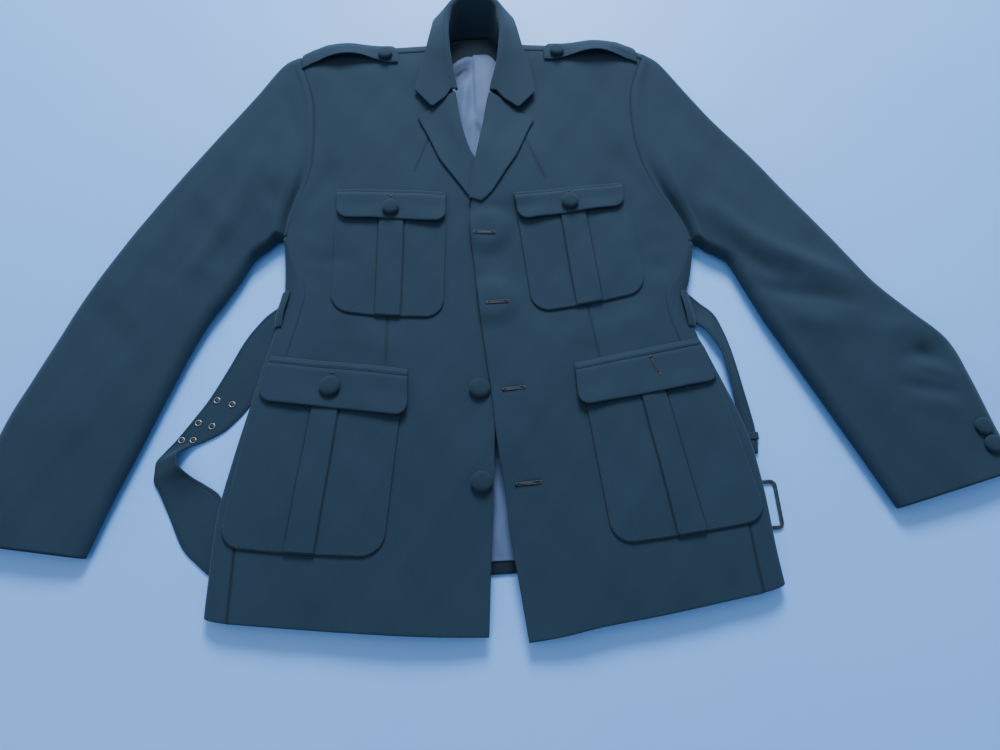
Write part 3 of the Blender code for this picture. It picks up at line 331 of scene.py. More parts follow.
def cloth_top(side, out, y):
    """Height of the jacket's upper surface, over the front and the rolled side."""
    out, y = np.broadcast_arrays(np.asarray(out, float), np.asarray(y, float))
    seam = seam_out(side, y)
    edge, crown = curve(HEIGHT, "y", "seam")(y), curve(HEIGHT, "y", "crown")(y)
    rise = np.sin(np.clip((seam - out) / CROWN_RUN, 0, 1) * math.pi / 2) ** 2
    top = edge + (crown - edge) * rise
    inside = ease(0, 25, seam - out) * ease(670, 625, y)
    top = top + fold_height(side, out, y) * inside
    top = top - EDGE_DROOP * ease(75, 10, out) * ease(150, 20, y)
    if side == "left":
        near = ease(LAP_REACH[1], LAP_REACH[0], out)
        top = top + curve(LAP, "y", "lift")(y) * near
        for row_y, x, hidden in zip(*BUTTON_ROWS.values()):
            reach = np.hypot(out - x, y - row_y)
            top = top + hidden * HIDDEN_BUTTON_HEIGHT * ease(37, BUTTON_RADIUS + 3, reach)
    share = np.clip((out - seam) / top_roll(side, y), 0, 1)
    rolled = EDGE_HEIGHT + (edge - EDGE_HEIGHT) * np.sqrt(1 - share**2)
    return np.where((out > seam) & (y < UNDERARM[side]), rolled, top)


LINING_HEM = 13.0  # the lining stops short of the back's hem
LINING_TOP = 15.0  # and below the middle of the neck's roll
NECK_FACING_WALL = 1.8
NECK_SHADE = 0.6  # painted shade on the facing, which lies in shadow inside the collar
NECK_COLUMNS = (-44, -36, -28, -20, -10, 0, 10, 18, 24, 29, 34)

SLEEVE = {  # outer and inner edge in plan, and the height on top, from the armhole to the cuff
    "right": table(
        "out1 y1 out2 y2 top",
        (227.3, 674, 239.3, 404.6, 38),
        (250, 665, 251, 403, 33),
        (288, 613, 262, 391, 30),
        (332, 555, 277, 377, 27),
        (374, 497, 290, 351, 25),
        (411, 441, 305, 325, 24),
        (443, 386, 321, 300, 24),
        (470, 334, 338, 265, 24),
        (491, 284, 352, 230, 24),
        (511, 237, 366, 195, 24),
        (531, 190, 383, 150, 23),
        (550, 126, 404, 97, 22),
        (566, 62, 425, 37, 21),
    ),
    "left": table(
        "out1 y1 out2 y2 top",
        (213.3, 658, 243.3, 372.6, 38),
        (236, 642, 254, 371.2, 33),
        (266, 594, 262, 362, 30),
        (294, 551, 272, 355, 27),
        (338, 489, 283, 346, 26),
        (377, 427, 289, 332, 25),
        (414, 368, 296, 312, 25),
        (448, 310, 305, 288, 25),
        (484, 266, 315, 262, 25),
        (517, 227, 328, 233, 24),
        (529, 180, 346, 193, 24),
        (540, 124, 377, 123, 22),
        (550, 77, 412, 43, 21),
    ),
}
FROM_ARMHOLE = (1, 0.72, 0.45, 0.22, 0.08, 0, 0, 0, 0, 0, 0, 0, 0)  # share of the armhole's form
SLEEVE_ARCH = 3.5  # how much lower the sleeve's top is beside its rolls
SLEEVE_EDGE = {"outer": (15, 30, 12), "inner": (14, 26, 12)}  # roll on top, on the floor, and tuck
ARMHOLE_EDGE = {"outer": (22, 22, 3), "inner": (5, 8, 3)}
MIDDLE_HEIGHT = 10.0

LAPEL = {  # outer edge of each lapel, row by row from its break to its tip; the roll's y first
    "right": table(
        "roll out y",
        (437, 3, 431),
        (452, 17, 441),
        (470, 28, 458),
        (494, 40, 477),
        (515, 52, 496),
        (540, 61, 519),
        (565, 70, 541),
        (582, 75, 552),
        (596.5, 78, 561),
    ),
    "left": table(
        "roll out y",
        (436, -4, 431),
        (452, 8, 442),
        (470, 19, 458),
        (492, 30, 475),
        (512, 41, 492),
        (535, 50, 511),
        (560, 58, 530),
        (578, 63, 540),
        (593.5, 67, 548),
    ),
}
LAPEL_LIFT = 0.5
ROLL_LIFT = 2.5

COLLAR = table(  # neck seam, roll and edge of the leaf, from the right end round the back
    "nx ny nz rx ry rz ex ey ez dip",
    (-29, 598.5, 34.4, -27.5, 598.5, 38.8, -81, 600, 38, 28),
    (-34, 612, 35.6, -29, 612, 42, -77, 616, 39, 12),
    (-40, 631, 37.2, -31, 632, 47, -70, 640, 41.5, 3),
    (-48, 655, 39.4, -33, 657, 53, -64, 667, 44.5, 0),
    (-47.5, 683.5, 33, -34.5, 690, 56, -58, 698, 40, 0),
    (-36, 704, 18, -33, 720, 56, -53, 731, 26, 0),
    (-20, 717, 8.5, -20, 742, 55, -34, 759, 14, 0),
    (0, 721, 5.5, 0, 750, 55, -1, 768, 12, 0),
    (18, 717, 8.5, 19, 742, 55, 32, 759, 14, 0),
    (29, 704, 18, 31, 720, 56, 49, 730, 26, 0),
    (38, 681.5, 33, 31.5, 690, 56, 54, 696, 40, 0),
    (39, 652, 39.4, 27, 655, 53, 59, 661, 44.5, 0),
    (30, 627, 37.2, 23, 628, 47, 66, 635, 41.5, 3),
    (22, 608, 35.6, 17, 608, 42, 70, 608, 39, 11),
    (16.5, 594.5, 34.4, 15, 594.5, 38.8, 71, 588, 38, 26),
)
NECK_END = 665.0  # in front of it the collar's foot stands on the fronts
COLLAR_FOOT = 3.0
NOTCH = 0.6  # where across the leaf its end meets the lapel's notch
COLLAR_WALL = 2.4
ROLL_SOFTNESS = 8.0

POCKETS = {  # corners of each bag in plan: top and bottom, inner and outer, and the round of it
    "chest_pocket_right": ("right", ((46, 435), (179, 445), (54, 285), (183, 301)), 21, -4),
    "chest_pocket_left": ("left", ((37, 427), (172, 440), (48, 284), (181, 307)), 21, -3),
    "lower_pocket_right": ("right", ((100, 200), (260, 226), (122, 20), (290, 40)), 24, -2),
    "lower_pocket_left": ("left", ((95, 202), (241, 222), (111, 20), (273, 38)), 22, -2),
}
FLAPS = {
    "chest_flap_right": ("right", ((46, 449), (178, 462), (48, 406), (177, 420.5)), 13),
    "chest_flap_left": ("left", ((35, 440.5), (168.5, 454), (40, 402), (167, 419)), 13),
    "lower_flap_right": ("right", ((94.5, 222), (248, 248.5), (95.5, 166), (258.5, 195)), 15),
    "lower_flap_left": ("left", ((89, 219.5), (231.5, 245), (89, 167), (248, 192)), 15),
}
EDGE_CLEARANCE = 6.0  # a bag stays this far inside the side's outline

STRAP = {  # front and back edge across the shoulder, measured over it from its crest
    "right": table(
        "out front back",
        (226, -11, 23),
        (205, -11, 23),
        (180, -9, 23),
        (150, -9, 22),
        (125, -13, 19),
        (110, -16, 13),
        (102, -16, 2),
    ),
    "left": table(
        "out front back",
        (207, -10, 23),
        (190, -10, 23),
        (170, -8, 23),
        (140, -9, 22),
        (112, -12, 19),
        (95, -15, 13),
        (87, -15, 2),
    ),
}
STRAP_BUTTON = {"right": (118, -4), "left": (104, -3)}
STRAP_ARCH = 3.0

FLAP_BUTTONS = {  # place in plan on each flap that is buttoned, and the button's radius
    "button_chest_right": ("right", 112, 427, 10.0),
    "button_chest_left": ("left", 101.5, 424, 10.0),
    "button_lower_right": ("right", 178.5, 205, BUTTON_RADIUS),
}
CUFF_BUTTONS = {
    "right": ((536, 116), (541.5, 96.5)),
    "left": ((520.5, 124), (525.5, 104)),
}

BELT_THICK = 2.0
BELT = {  # the two edges of each stretch that shows, with their heights on the floor side
    "right": table(
        "out1 y1 z1 out2 y2 z2",
        (241, 322, 0.4, 236, 291, 1.1),
        (252, 315, 0, 241, 276, 0),
        (265, 303, 0, 247, 262, 0),
        (283, 278, 0, 254, 240, 0),
        (300, 243, 0, 262, 219, 0),
        (318, 208, 0, 275, 194, 0),
        (335, 182, 0.5, 297, 170, 0.5),
        (350, 161, 0.5, 318, 158, 1),
        (361, 147, 1, 333, 151, 6),
        (369, 134, 0.5, 342, 140, 15),
        (369, 119, 0.5, 339, 130, 15),
        (360, 100, 0.5, 328, 119, 8),
        (348, 76, 0, 314, 110, 2),
        (332, 44, 0, 299, 99, 0),
        (315, 26, 0, 291, 85, 0),
        (292, 6, 0, 284, 66, 0.8),
    ),
    "left": table(
        "out1 y1 z1 out2 y2 z2",
        (234, 309, 2.2, 224, 287, 2.4),
        (246, 296, 1.3, 232, 275, 3),
        (259, 282, 1.3, 243, 262, 8),
        (266, 262, 1.3, 252, 245, 10),
        (271, 240, 1.3, 258, 232, 10),
        (275, 212, 1.3, 261, 208, 9),
        (278, 185, 1.3, 264, 184, 6),
        (281, 160, 1.3, 266, 161, 2.5),
        (282.5, 140, 1.3, 269, 141, 1.3),
        (282.5, 125, 1.3, 269, 126, 1.3),
        (281, 112, 1.3, 269, 113, 1.3),
    ),
}
EYELETS = table(  # the belt's row and the share across it where each one sits, and its rise there
    "row share rise",
    (5, 0.2, 0.05),
    (5, 0.6, 0.05),
    (6, 0.2, 0.05),
    (6, 0.6, 0.05),
    (7, 0.2, 0.3),
    (7, 0.6, 0.8),
)
BUCKLE = {"x": (267, 294.5), "y": (30, 83), "corner": 7, "width": 4.0, "thick": 2.0, "floor": 0.3}
KEEPER = {"x": (270.5, 285), "y": (128, 136), "thick": 1.0, "inner": 2.6}

BELT_LOOP = {"right": (286, 332), "left": (262, 308)}
LOOP_STAND = 3.2
LOOP_WALL = 1.5


def lay(side, out, y, z):
    """Points in the row's frame, in millimetres, from outward distances and heights."""
    out, y, z = np.broadcast_arrays(out, y, z)
    return np.stack([SIGN[side] * out - HOME[0], y - HOME[1], z], axis=-1).astype(float)


def lay_grid(side, grid):
    """The same for a grid of places."""
    return lay(side, *np.moveaxis(grid, -1, 0))


FINE_FOLDS = {  # smaller ridges and creases, along a line from 1 to 2
    "right": table(
        "out1 y1 out2 y2 width height",
        (243, 606, 231, 545, 7, -2.6),
        (230, 620, 214, 555, 6, 1.6),
        (262, 600, 256, 540, 10, 1.8),
        (264, 528, 354, 330, 15, 3.2),
        (285, 430, 380, 290, 14, -2.4),
        (296, 400, 350, 470, 14, 1.4),
        (340, 330, 420, 390, 16, -1.2),
        (300, 340, 345, 372, 10, 1.0),
        (440, 170, 520, 200, 20, 0.9),
        (225, 372, 160, 366, 10, -1.2),
        (215, 300, 150, 285, 12, 0.9),
        (205, 470, 150, 492, 18, -1.0),
        (140, 150, 230, 120, 26, -0.9),
        (60, 130, 90, 20, 24, 0.8),
        (205, 80, 215, -20, 22, 0.9),
    ),
    "left": table(
        "out1 y1 out2 y2 width height",
        (219, 621, 212, 545, 6, -3.0),
        (231, 618, 228, 560, 7, 1.8),
        (262, 424, 330, 352, 15, 4.0),
        (330, 352, 420, 310, 14, 4.0),
        (258, 369, 300, 312, 11, -3.6),
        (300, 306, 415, 280, 12, -4.6),
        (330, 268, 400, 246, 14, 2.4),
        (474, 217, 512, 198, 8, -2.8),
        (462, 204, 520, 178, 7, 2.0),
        (447, 176, 505, 162, 8, -2.8),
        (450, 158, 500, 146, 10, 1.6),
        (216, 376, 160, 360, 12, -1.0),
        (205, 300, 140, 262, 12, 1.0),
        (195, 470, 150, 498, 18, -1.1),
        (150, 150, 232, 112, 26, -0.9),
        (75, 120, 110, 10, 24, 0.8),
        (225, 60, 232, -20, 20, 0.9),
    ),
}
WAVES = table(  # slight unevenness of the cloth: wave lengths along x and y, phase and height
    "x y phase height",
    (173, 251, 0.4, 0.5),
    (-97, 143, 1.9, 0.42),
    (61, 89, 3.1, 0.26),
    (41, -67, 5.0, 0.15),
    (-29, 37, 2.2, 0.06),
)


def ripple(x, y):
    total = np.zeros(np.broadcast(x, y).shape)
    for step_x, step_y, phase, height in zip(*WAVES.values()):
        total = total + height * np.sin(2 * math.pi * (x / step_x + y / step_y) + phase)
    return total


def surface(side, out, y):
    """The jacket's upper surface with its finer folds, over the front and the rolled side."""
    out, y = np.broadcast_arrays(np.asarray(out, float), np.asarray(y, float))
    top = cloth_top(side, out, y)
    inside = ease(0, 30, seam_out(side, y) - out) * ease(675, 640, y)
    fine = sum_folds(FINE_FOLDS[side], out, y) + ripple(SIGN[side] * out, y)
    return top + fine * inside


# Meshes


def arcs(grid):
    """Distances of a grid's points along its rows and columns, from each of its four edges."""
    along = np.linalg.norm(np.diff(grid, axis=0), axis=-1)
    across = np.linalg.norm(np.diff(grid, axis=1), axis=-1)
    low = np.concatenate([np.zeros((1, grid.shape[1])), np.cumsum(along, axis=0)], axis=0)
    first = np.concatenate([np.zeros((grid.shape[0], 1)), np.cumsum(across, axis=1)], axis=1)
    return low, low[-1:] - low, first, first[:, -1:] - first


def closed_mesh(name, points, quads, uv, material, shade=None):
    """One closed object; quads is an array of corner numbers, turned to face out."""
    a, b, c, d = (points[quads[:, i]] for i in range(4))
    volume = np.einsum("ij,ij->i", a, np.cross(b, c)).sum()
    volume += np.einsum("ij,ij->i", a, np.cross(c, d)).sum()
    if volume < 0:
        quads = quads[:, ::-1]
    mesh = bpy.data.meshes.new(name)
    mesh.vertices.add(len(points))
    mesh.vertices.foreach_set("co", (points * MM).ravel())
    mesh.loops.add(quads.size)
    mesh.loops.foreach_set("vertex_index", quads.ravel().astype(np.int32))
    mesh.polygons.add(len(quads))
    mesh.polygons.foreach_set("loop_start", np.arange(0, quads.size, 4, dtype=np.int32))
    mesh.polygons.foreach_set("use_smooth", np.ones(len(quads), bool))
    mesh.update(calc_edges=True)
    layer = mesh.uv_layers.new(name="UVMap")
    layer.data.foreach_set("uv", (uv[quads.ravel()] * MM).ravel())
    # painted shade: each point's share of darkening, kept as the "depth" attribute
    if shade is not None:
        depth = mesh.attributes.new("depth", "FLOAT", "POINT")
        depth.data.foreach_set("value", shade.astype(np.float32))
    mesh.materials.append(material)
    obj = bpy.data.objects.new(name, mesh)
    bpy.context.scene.collection.objects.link(obj)
    return obj


FOLD_REACH = 1.7  # radius of a folded edge
FOLD_SHARE = 0.96  # share of the wall that it closes
SEAM_DEPTH = 0.8
SEAM_REACH = 1.3
FIRST_FOLDED = ("fold", None, None, None)
ALL_FOLDED = ("fold",) * 4


def fold_squeeze(distance):
    """How far the wall closes at a distance from a folded edge, as a share."""
    near = np.clip(1 - distance / FOLD_REACH, 0, 1)
    return 1 - np.sqrt(1 - (FOLD_SHARE * near) ** 2)


def shell(name, outer, inner, material, edges=(None,) * 4, away=None, dent=0.0, tint=0.0, inner_tint=0.0):
    """A panel between two grids: folded edges are rounded and seams sunk.

    edges are those of the first row, last row, first column and last column. away is the
    distance from the folded outline where the grid's own distances don't give it. dent sinks
    the outside and darkens it with painted shade; the two shade arguments after it only add painted shade,
    outside and inside.
    """
    rows, columns = outer.shape[:2]
    reach = arcs(outer)
    squeeze, sink = np.zeros((rows, columns)), np.zeros((rows, columns)) + dent
    if away is not None:
        squeeze = fold_squeeze(away)
    for edge, distance in zip(edges, reach):
        if edge == "fold":
            squeeze = np.maximum(squeeze, fold_squeeze(distance))
        if edge == "seam":
            sink = np.maximum(sink, SEAM_DEPTH * np.exp(-((distance / SEAM_REACH) ** 2)))
    depth = outer - inner
    thick = np.linalg.norm(depth, axis=-1, keepdims=True)
    down = depth / thick
    outer = outer - depth * 0.5 * squeeze[..., None] - down * np.minimum(sink, 0.8 * thick[..., 0])[..., None]
    inner = inner + depth * 0.5 * squeeze[..., None]
    count = rows * columns
    i, j = np.meshgrid(np.arange(rows - 1), np.arange(columns - 1), indexing="ij")
    a = (i * columns + j).ravel()
    top = np.stack([a, a + 1, a + columns + 1, a + columns], axis=1)
    rim = list(range(columns)) + [k * columns + columns - 1 for k in range(1, rows)]
    rim += [(rows - 1) * columns + k for k in range(columns - 2, -1, -1)]
    rim += [k * columns for k in range(rows - 2, 0, -1)]
    rim = np.array(rim)
    after = np.roll(rim, -1)
    side = np.stack([after, rim, rim + count, after + count], axis=1)
    quads = np.concatenate([top, top[:, ::-1] + count, side])
    uv = np.stack([reach[2], reach[0]], axis=-1).reshape(-1, 2)
    # painted shade on the inside and, with the sunk seams and dents, on the outside
    below = np.zeros((rows, columns)) + inner_tint
    shade = np.concatenate([(sink + tint).ravel(), below.ravel()])
    points = np.concatenate([outer.reshape(-1, 3), inner.reshape(-1, 3)])
    return closed_mesh(name, points, quads, np.concatenate([uv, uv]), material, shade)


def ring_mesh(name, rings, material):
    """Closed sections joined one to the next, and the last to the first."""
    turns, sides = rings.shape[:2]
    i, j = np.meshgrid(np.arange(turns), np.arange(sides), indexing="ij")
    i, j = i.ravel(), j.ravel()
    k, m = (i + 1) % turns, (j + 1) % sides
    quads = np.stack([i * sides + j, i * sides + m, k * sides + m, k * sides + j], axis=1)
    points = rings.reshape(-1, 3)
    return closed_mesh(name, points, quads, points[:, :2].copy(), material)


def capsules(name, starts, stops, normals, radius, flat, material):
    """Short stitches of thread, each an eight-cornered spindle along its own line."""
    starts, stops, normals = (np.asarray(v, float) for v in (starts, stops, normals))
    along = stops - starts
    length = np.linalg.norm(along, axis=1, keepdims=True)
    along = along / length
    side = np.cross(normals, along)
    side /= np.linalg.norm(side, axis=1, keepdims=True)
    up = np.cross(along, side)
    sections = ((0.0, 0.25), (0.22, 1.0), (0.78, 1.0), (1.0, 0.25))
    corners = []
    for share, wide in sections:
        for angle in np.radians([45, 135, 225, 315]):
            offset = side * math.cos(angle) * radius + up * math.sin(angle) * radius * flat
            corners.append(starts + along * length * share + offset * wide * 1.3)
    corners = np.stack(corners, axis=1)
    base = []
    for k in range(3):
        for m in range(4):
            n = (m + 1) % 4
            base.append((k * 4 + m, k * 4 + n, (k + 1) * 4 + n, (k + 1) * 4 + m))
    base += [(3, 2, 1, 0), (12, 13, 14, 15)]
    base = np.array(base)
    first = np.arange(len(starts))[:, None, None] * 16
    quads = (base[None] + first).reshape(-1, 4)
    points = corners.reshape(-1, 3)
    return closed_mesh(name, points, quads, points[:, :2].copy(), material)


def joined(objects, name):
    """Several meshes made into one object."""
    for obj in bpy.context.selected_objects:
        obj.select_set(False)
    for obj in objects:
        obj.select_set(True)
    bpy.context.view_layer.objects.active = objects[0]
    with bpy.context.temp_override(
        active_object=objects[0], selected_objects=objects, selected_editable_objects=objects
    ):
        bpy.ops.object.join()
    objects[0].name = name
    objects[0].data.name = name
    return objects[0]


# Sampling

EDGE_STATIONS = (0, 0.3, 0.8, 1.5, 2.4, 3.6, 5.0, 7.0)

MESH = {  # length of each grid that way, and the step between its lines
    "front_up": (735, 3.9),
    "front_across": (250, 2.0),
    "lining_across": (420, 2.6),
    "lining_up": (690, 4.0),
    "sleeve_along": (700, 4.4),
    "lapel_up": (175, 2.6),
    "lapel_across": (62, 2.2),
    "collar_round": (330, 2.4),
    "strap_along": (125, 1.8),
    "keeper_along": (8, 1.0),
    "loop_across": (14, 1.4),
    "loop_along": (46, 2.0),
    "side_up": (440, 4.5),
    "collar_leaf": (42, 2.2),
}


def stations(length, step, dense_start=True, dense_end=True):
    """Shares of a length, closer together where an edge is folded or sewn."""
    first = list(EDGE_STATIONS) if dense_start else [0.0]
    last = [length - value for value in EDGE_STATIONS] if dense_end else [length]
    steps = max(2, int((last[-1] - first[-1]) / step))
    middle = list(np.linspace(first[-1], last[-1], steps + 1))
    return np.unique(np.round(first + middle + last, 4)) / length


def refined(values, index):
    """A row's numbers at places between its entries."""
    return np.interp(index, np.arange(len(values)), np.asarray(values, float))


def smooth(values, index):
    """The same along a smooth line."""
    rows = {"n": np.arange(len(values), dtype=float), "v": np.asarray(values, float)}
    return curve(rows, "n", "v")(np.asarray(index, float))


def outline_distance(points, line):
    """Distance of each point from a line of points, in plan."""
    best = np.full(points.shape[:-1], 1e9)
    for a, b in zip(line[:-1], line[1:]):
        ab = b - a
        span = max(float(ab @ ab), 1e-9)
        share = np.clip(((points - a) @ ab) / span, 0, 1)
        best = np.minimum(best, np.linalg.norm(points - (a + share[..., None] * ab), axis=-1))
    return best


def grid_height(grid, x, y):
    """Height of a grid's surface at a place in plan, from its nearest points."""
    flat = grid.reshape(-1, 3)
    away = (flat[:, 0] - x) ** 2 + (flat[:, 1] - y) ** 2
    near = np.argpartition(away, 4)[:4]
    weight = 1 / (away[near] + 0.01)
    return float((flat[near, 2] * weight).sum() / weight.sum())


# Materials


def new_material(name, colour, roughness, metallic=0.0):
    material = bpy.data.materials.new(name)
    material.use_nodes = True
    shader = material.node_tree.nodes["Principled BSDF"]
    shader.inputs["Base Color"].default_value = (*colour, 1)
    shader.inputs["Roughness"].default_value = roughness
    shader.inputs["Metallic"].default_value = metallic
    return material, material.node_tree, shader


def texture(tree, kind, scale, detail=2.0, rotate=0.0, stretch=(1, 1, 1), coords="UV"):
    """A texture node on turned and stretched coordinates; scale is per metre."""
    place = tree.nodes.new("ShaderNodeTexCoord")
    turn = tree.nodes.new("ShaderNodeMapping")
    turn.inputs["Rotation"].default_value = (0, 0, math.radians(rotate))
    turn.inputs["Scale"].default_value = stretch
    tree.links.new(place.outputs[coords], turn.inputs["Vector"])
    node = tree.nodes.new(kind)
    node.inputs["Scale"].default_value = scale
    node.inputs["Detail"].default_value = detail
    tree.links.new(turn.outputs["Vector"], node.inputs["Vector"])
    return node


def calc(tree, operation, first, second):
    node = tree.nodes.new("ShaderNodeMath")
    node.operation = operation
    for socket, value in zip(node.inputs, (first, second)):
        if isinstance(value, (int, float)):
            socket.default_value = value
        else:
            tree.links.new(value, socket)
    return node.outputs[0]


def weighted_sum(tree, *terms):
    """The sum of some textures, each with its weight."""
    total = None
    for node, weight in terms:
        part = calc(tree, "MULTIPLY", node.outputs["Fac"], weight)
        total = part if total is None else calc(tree, "ADD", total, part)
    return total


def blend_colours(tree, factor, first, second):
    node = tree.nodes.new("ShaderNodeMix")
    node.data_type = "RGBA"
    tree.links.new(factor, node.inputs[0])
    for socket, value in zip((node.inputs[6], node.inputs[7]), (first, second)):
        if isinstance(value, tuple):
            socket.default_value = (*value, 1)
        else:
            tree.links.new(value, socket)
    return node.outputs[2]


def bump(tree, shader, height, strength, distance):
    node = tree.nodes.new("ShaderNodeBump")
    node.inputs["Strength"].default_value = strength
    node.inputs["Distance"].default_value = distance
    tree.links.new(height, node.inputs["Height"])
    tree.links.new(node.outputs["Normal"], shader.inputs["Normal"])


def scaled(colour, share):
    return tuple(value * share for value in colour)


def wool(name, colour, pitch=1.3, rotate=62):
    """Wool twill: slanted ribs, loose fibre and slow changes of shade, with painted shade in its sunk seams
    and dents.
    """
    material, tree, shader = new_material(name, colour, 0.82)
    rib = texture(tree, "ShaderNodeTexWave", math.pi / 10 / (pitch * MM), rotate=rotate, detail=1.0)
    rib.inputs["Distortion"].default_value = 1.2
    rib.inputs["Detail Scale"].default_value = 3.0
    yarn = texture(tree, "ShaderNodeTexNoise", 620, stretch=(1, 2.2, 1), detail=2.0)
    fibre = texture(tree, "ShaderNodeTexNoise", 1900, detail=1.0)
    slow = texture(tree, "ShaderNodeTexNoise", 9, coords="Object", detail=6.0)
    mixed_in = weighted_sum(tree, (rib, 0.22), (yarn, 0.5), (slow, 0.36))
    shade = blend_colours(tree, mixed_in, scaled(colour, 0.62), scaled(colour, 1.4))
    # painted shade: the "depth" attribute, from sunk seams and dents and any shade asked for, darkens the
    # colour
    seam = tree.nodes.new("ShaderNodeAttribute")
    seam.attribute_name = "depth"
    painted_shade = calc(tree, "MULTIPLY", seam.outputs["Fac"], 0.8)
    shade = blend_colours(tree, calc(tree, "MINIMUM", painted_shade, 0.8), shade, scaled(colour, 0.22))
    tree.links.new(shade, shader.inputs["Base Color"])
    relief = weighted_sum(tree, (rib, 0.5), (yarn, 0.7), (fibre, 0.25))
    bump(tree, shader, relief, 0.45, 0.0004)
    shader.inputs["Specular IOR Level"].default_value = 0.17
    shader.inputs["Sheen Weight"].default_value = 0.13
    shader.inputs["Sheen Roughness"].default_value = 0.45
    shader.inputs["Sheen Tint"].default_value = (0.55, 0.72, 0.9, 1)
    return material


def satin(name, colour):
    """Lining: fine threads, soft gloss and slow changes of shade, with painted shade between its folds."""
    material, tree, shader = new_material(name, colour, 0.55)
    shader.inputs["Specular IOR Level"].default_value = 0.06
    threads = texture(tree, "ShaderNodeTexNoise", 1500, stretch=(1, 0.12, 1), detail=1.0)
    slow = texture(tree, "ShaderNodeTexNoise", 26, coords="Object", detail=2.0)
    share = weighted_sum(tree, (threads, 0.35), (slow, 0.65))
    shade = blend_colours(tree, share, scaled(colour, 0.72), scaled(colour, 1.28))
    # painted shade between the folds, from the "depth" attribute
    fold = tree.nodes.new("ShaderNodeAttribute")
    fold.attribute_name = "depth"
    shade = blend_colours(tree, fold.outputs["Fac"], shade, scaled(colour, 0.1))
    tree.links.new(shade, shader.inputs["Base Color"])
    bump(tree, shader, threads.outputs["Fac"], 0.2, 0.0001)
    shader.inputs["Sheen Weight"].default_value = 0.03
    return material


def metal(name, colour, roughness):
    """Plated metal, slightly worn."""
    material, tree, shader = new_material(name, colour, roughness, 1.0)
    wear = texture(tree, "ShaderNodeTexNoise", 300, coords="Object", detail=4.0)
    shade = blend_colours(tree, wear.outputs["Fac"], scaled(colour, 0.7), scaled(colour, 1.35))
    tree.links.new(shade, shader.inputs["Base Color"])
    rough = calc(tree, "MULTIPLY", wear.outputs["Fac"], 0.35)
    tree.links.new(calc(tree, "ADD", rough, roughness - 0.15), shader.inputs["Roughness"])
    bump(tree, shader, wear.outputs["Fac"], 0.15, 0.0002)
    return material


def thread(name, colour):
    """Sewing thread, twisted."""
    material, tree, shader = new_material(name, colour, 0.6)
    twist = texture(tree, "ShaderNodeTexNoise", 2600, coords="Object", detail=1.0)
    shade = blend_colours(tree, twist.outputs["Fac"], scaled(colour, 0.7), scaled(colour, 1.3))
    tree.links.new(shade, shader.inputs["Base Color"])
    bump(tree, shader, twist.outputs["Fac"], 0.4, 0.0002)
    return material


CLOTH = (0.0105, 0.0275, 0.051)
TWILL = wool("twill", CLOTH)
# painted shade: a darker copy of the twill, for the neck facing in shadow inside the collar
SHADED_FACING = wool("shaded_facing_twill", scaled(CLOTH, 0.75))
BUTTON_CLOTH = wool("button_cloth", scaled(CLOTH, 0.95), pitch=1.0, rotate=40)
LINING = satin("satin_lining", (0.085, 0.128, 0.255))
METAL = metal("eyelet_metal", (0.24, 0.29, 0.34), 0.3)
BUCKLE_METAL = metal("buckle_metal", (0.06, 0.07, 0.085), 0.35)
SEWING = thread("sewing_thread", scaled(CLOTH, 0.9))
HOLE_THREAD = thread("buttonhole_thread", scaled(CLOTH, 0.8))
# painted shade: near-black pieces in buttonhole slits, eyes and eyelet holes, where only shade shows
PAINTED_GAP_SHADE = thread("painted_gap_shade", (0.004, 0.007, 0.011))

BODY = "root"


def dress(obj, nodes=()):
    """A piece rides on the body and stands for its CAD nodes, which are hidden."""
    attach(obj, BODY)
    if nodes:
        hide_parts(*nodes)
    return obj


def dress_cloth(name, outer, inner, rests, material=None, carries=(), **form):
    """A wall of cloth in its CAD node's place; rests, the pieces it lies on, is not used."""
    obj = shell(name + "_cloth", outer, inner, material or TWILL, **form)
    return dress(obj, [name])


# Body panels

DARTS = {
    "right": ((64, 534, 84, 482), (117.5, 300, 119, 232)),
    "left": ((54, 520, 75, 463), (110, 300, 118, 228)),
}
DART_DENT = (0.75, 1.2)  # depth and reach of the hollow along a dart, and under a buttonhole; each hollow is also painted darker as shade
HOLE_DENT = (0.9, 0.9)
FRONT_HOLES = ((-14, 390, 9, 388), (-4, 296.5, 19, 297), (9, 192.5, 32, 193.5), (17, 88, 42, 89))


def line_dent(out, y, line, deep, wide):
    x1, y1, x2, y2 = line
    points = np.stack([out, y], axis=-1)
    away = outline_distance(points, np.array([(x1, y1), (x2, y2)], float))
    return deep * np.exp(-((away / wide) ** 2))


def front_plan(side):
    inner_y, outer_y = np.array(ROWS_IN, float), np.array(ROWS_OUT[side], float)
    hem = curve(FRONT_HEM[side], "out", "y")
    inner_y[0] = hem(curve(FRONT_EDGE[side], "y", "out")(inner_y[0]))
    outer_y[0] = hem(seam_out(side, outer_y[0]))
    inner_y[-1] = CREST[side]["y"][0]
    index = stations(*MESH["front_up"]) * (len(ROWS_IN) - 1)
    inner_y, outer_y = refined(inner_y, index), refined(outer_y, index)
    inner_out = curve(FRONT_EDGE[side], "y", "out")(inner_y)
    outer_out = seam_out(side, outer_y) - 0.05
    low_in, low_out = hem(inner_out), hem(outer_out)
    share_in = (inner_y - low_in) / (crest(side, inner_out) - low_in)
    share_out = (outer_y - low_out) / (crest(side, outer_out) - low_out)
    share_in[-1] = share_out[-1] = 1
    u = stations(*MESH["front_across"])[None, :]
    out = inner_out[:, None] * (1 - u) + outer_out[:, None] * u
    share = share_in[:, None] * (1 - u) + share_out[:, None] * u
    low, high = hem(out), crest(side, out) - SHOULDER_SEAM
    return out, low + (high - low) * share


FRONT_GRID = {}


def seam_dent(distance, strength):
    return strength * SEAM_DEPTH * np.exp(-((distance / SEAM_REACH) ** 2))


def side_seam(y):
    """How strongly the seam beside a front is sunk and painted darker as shade: towards the hem and round the
    armhole.
    """
    return 0.05 + 0.75 * ease(100, 50, y) + 0.5 * ease(440, 500, y)


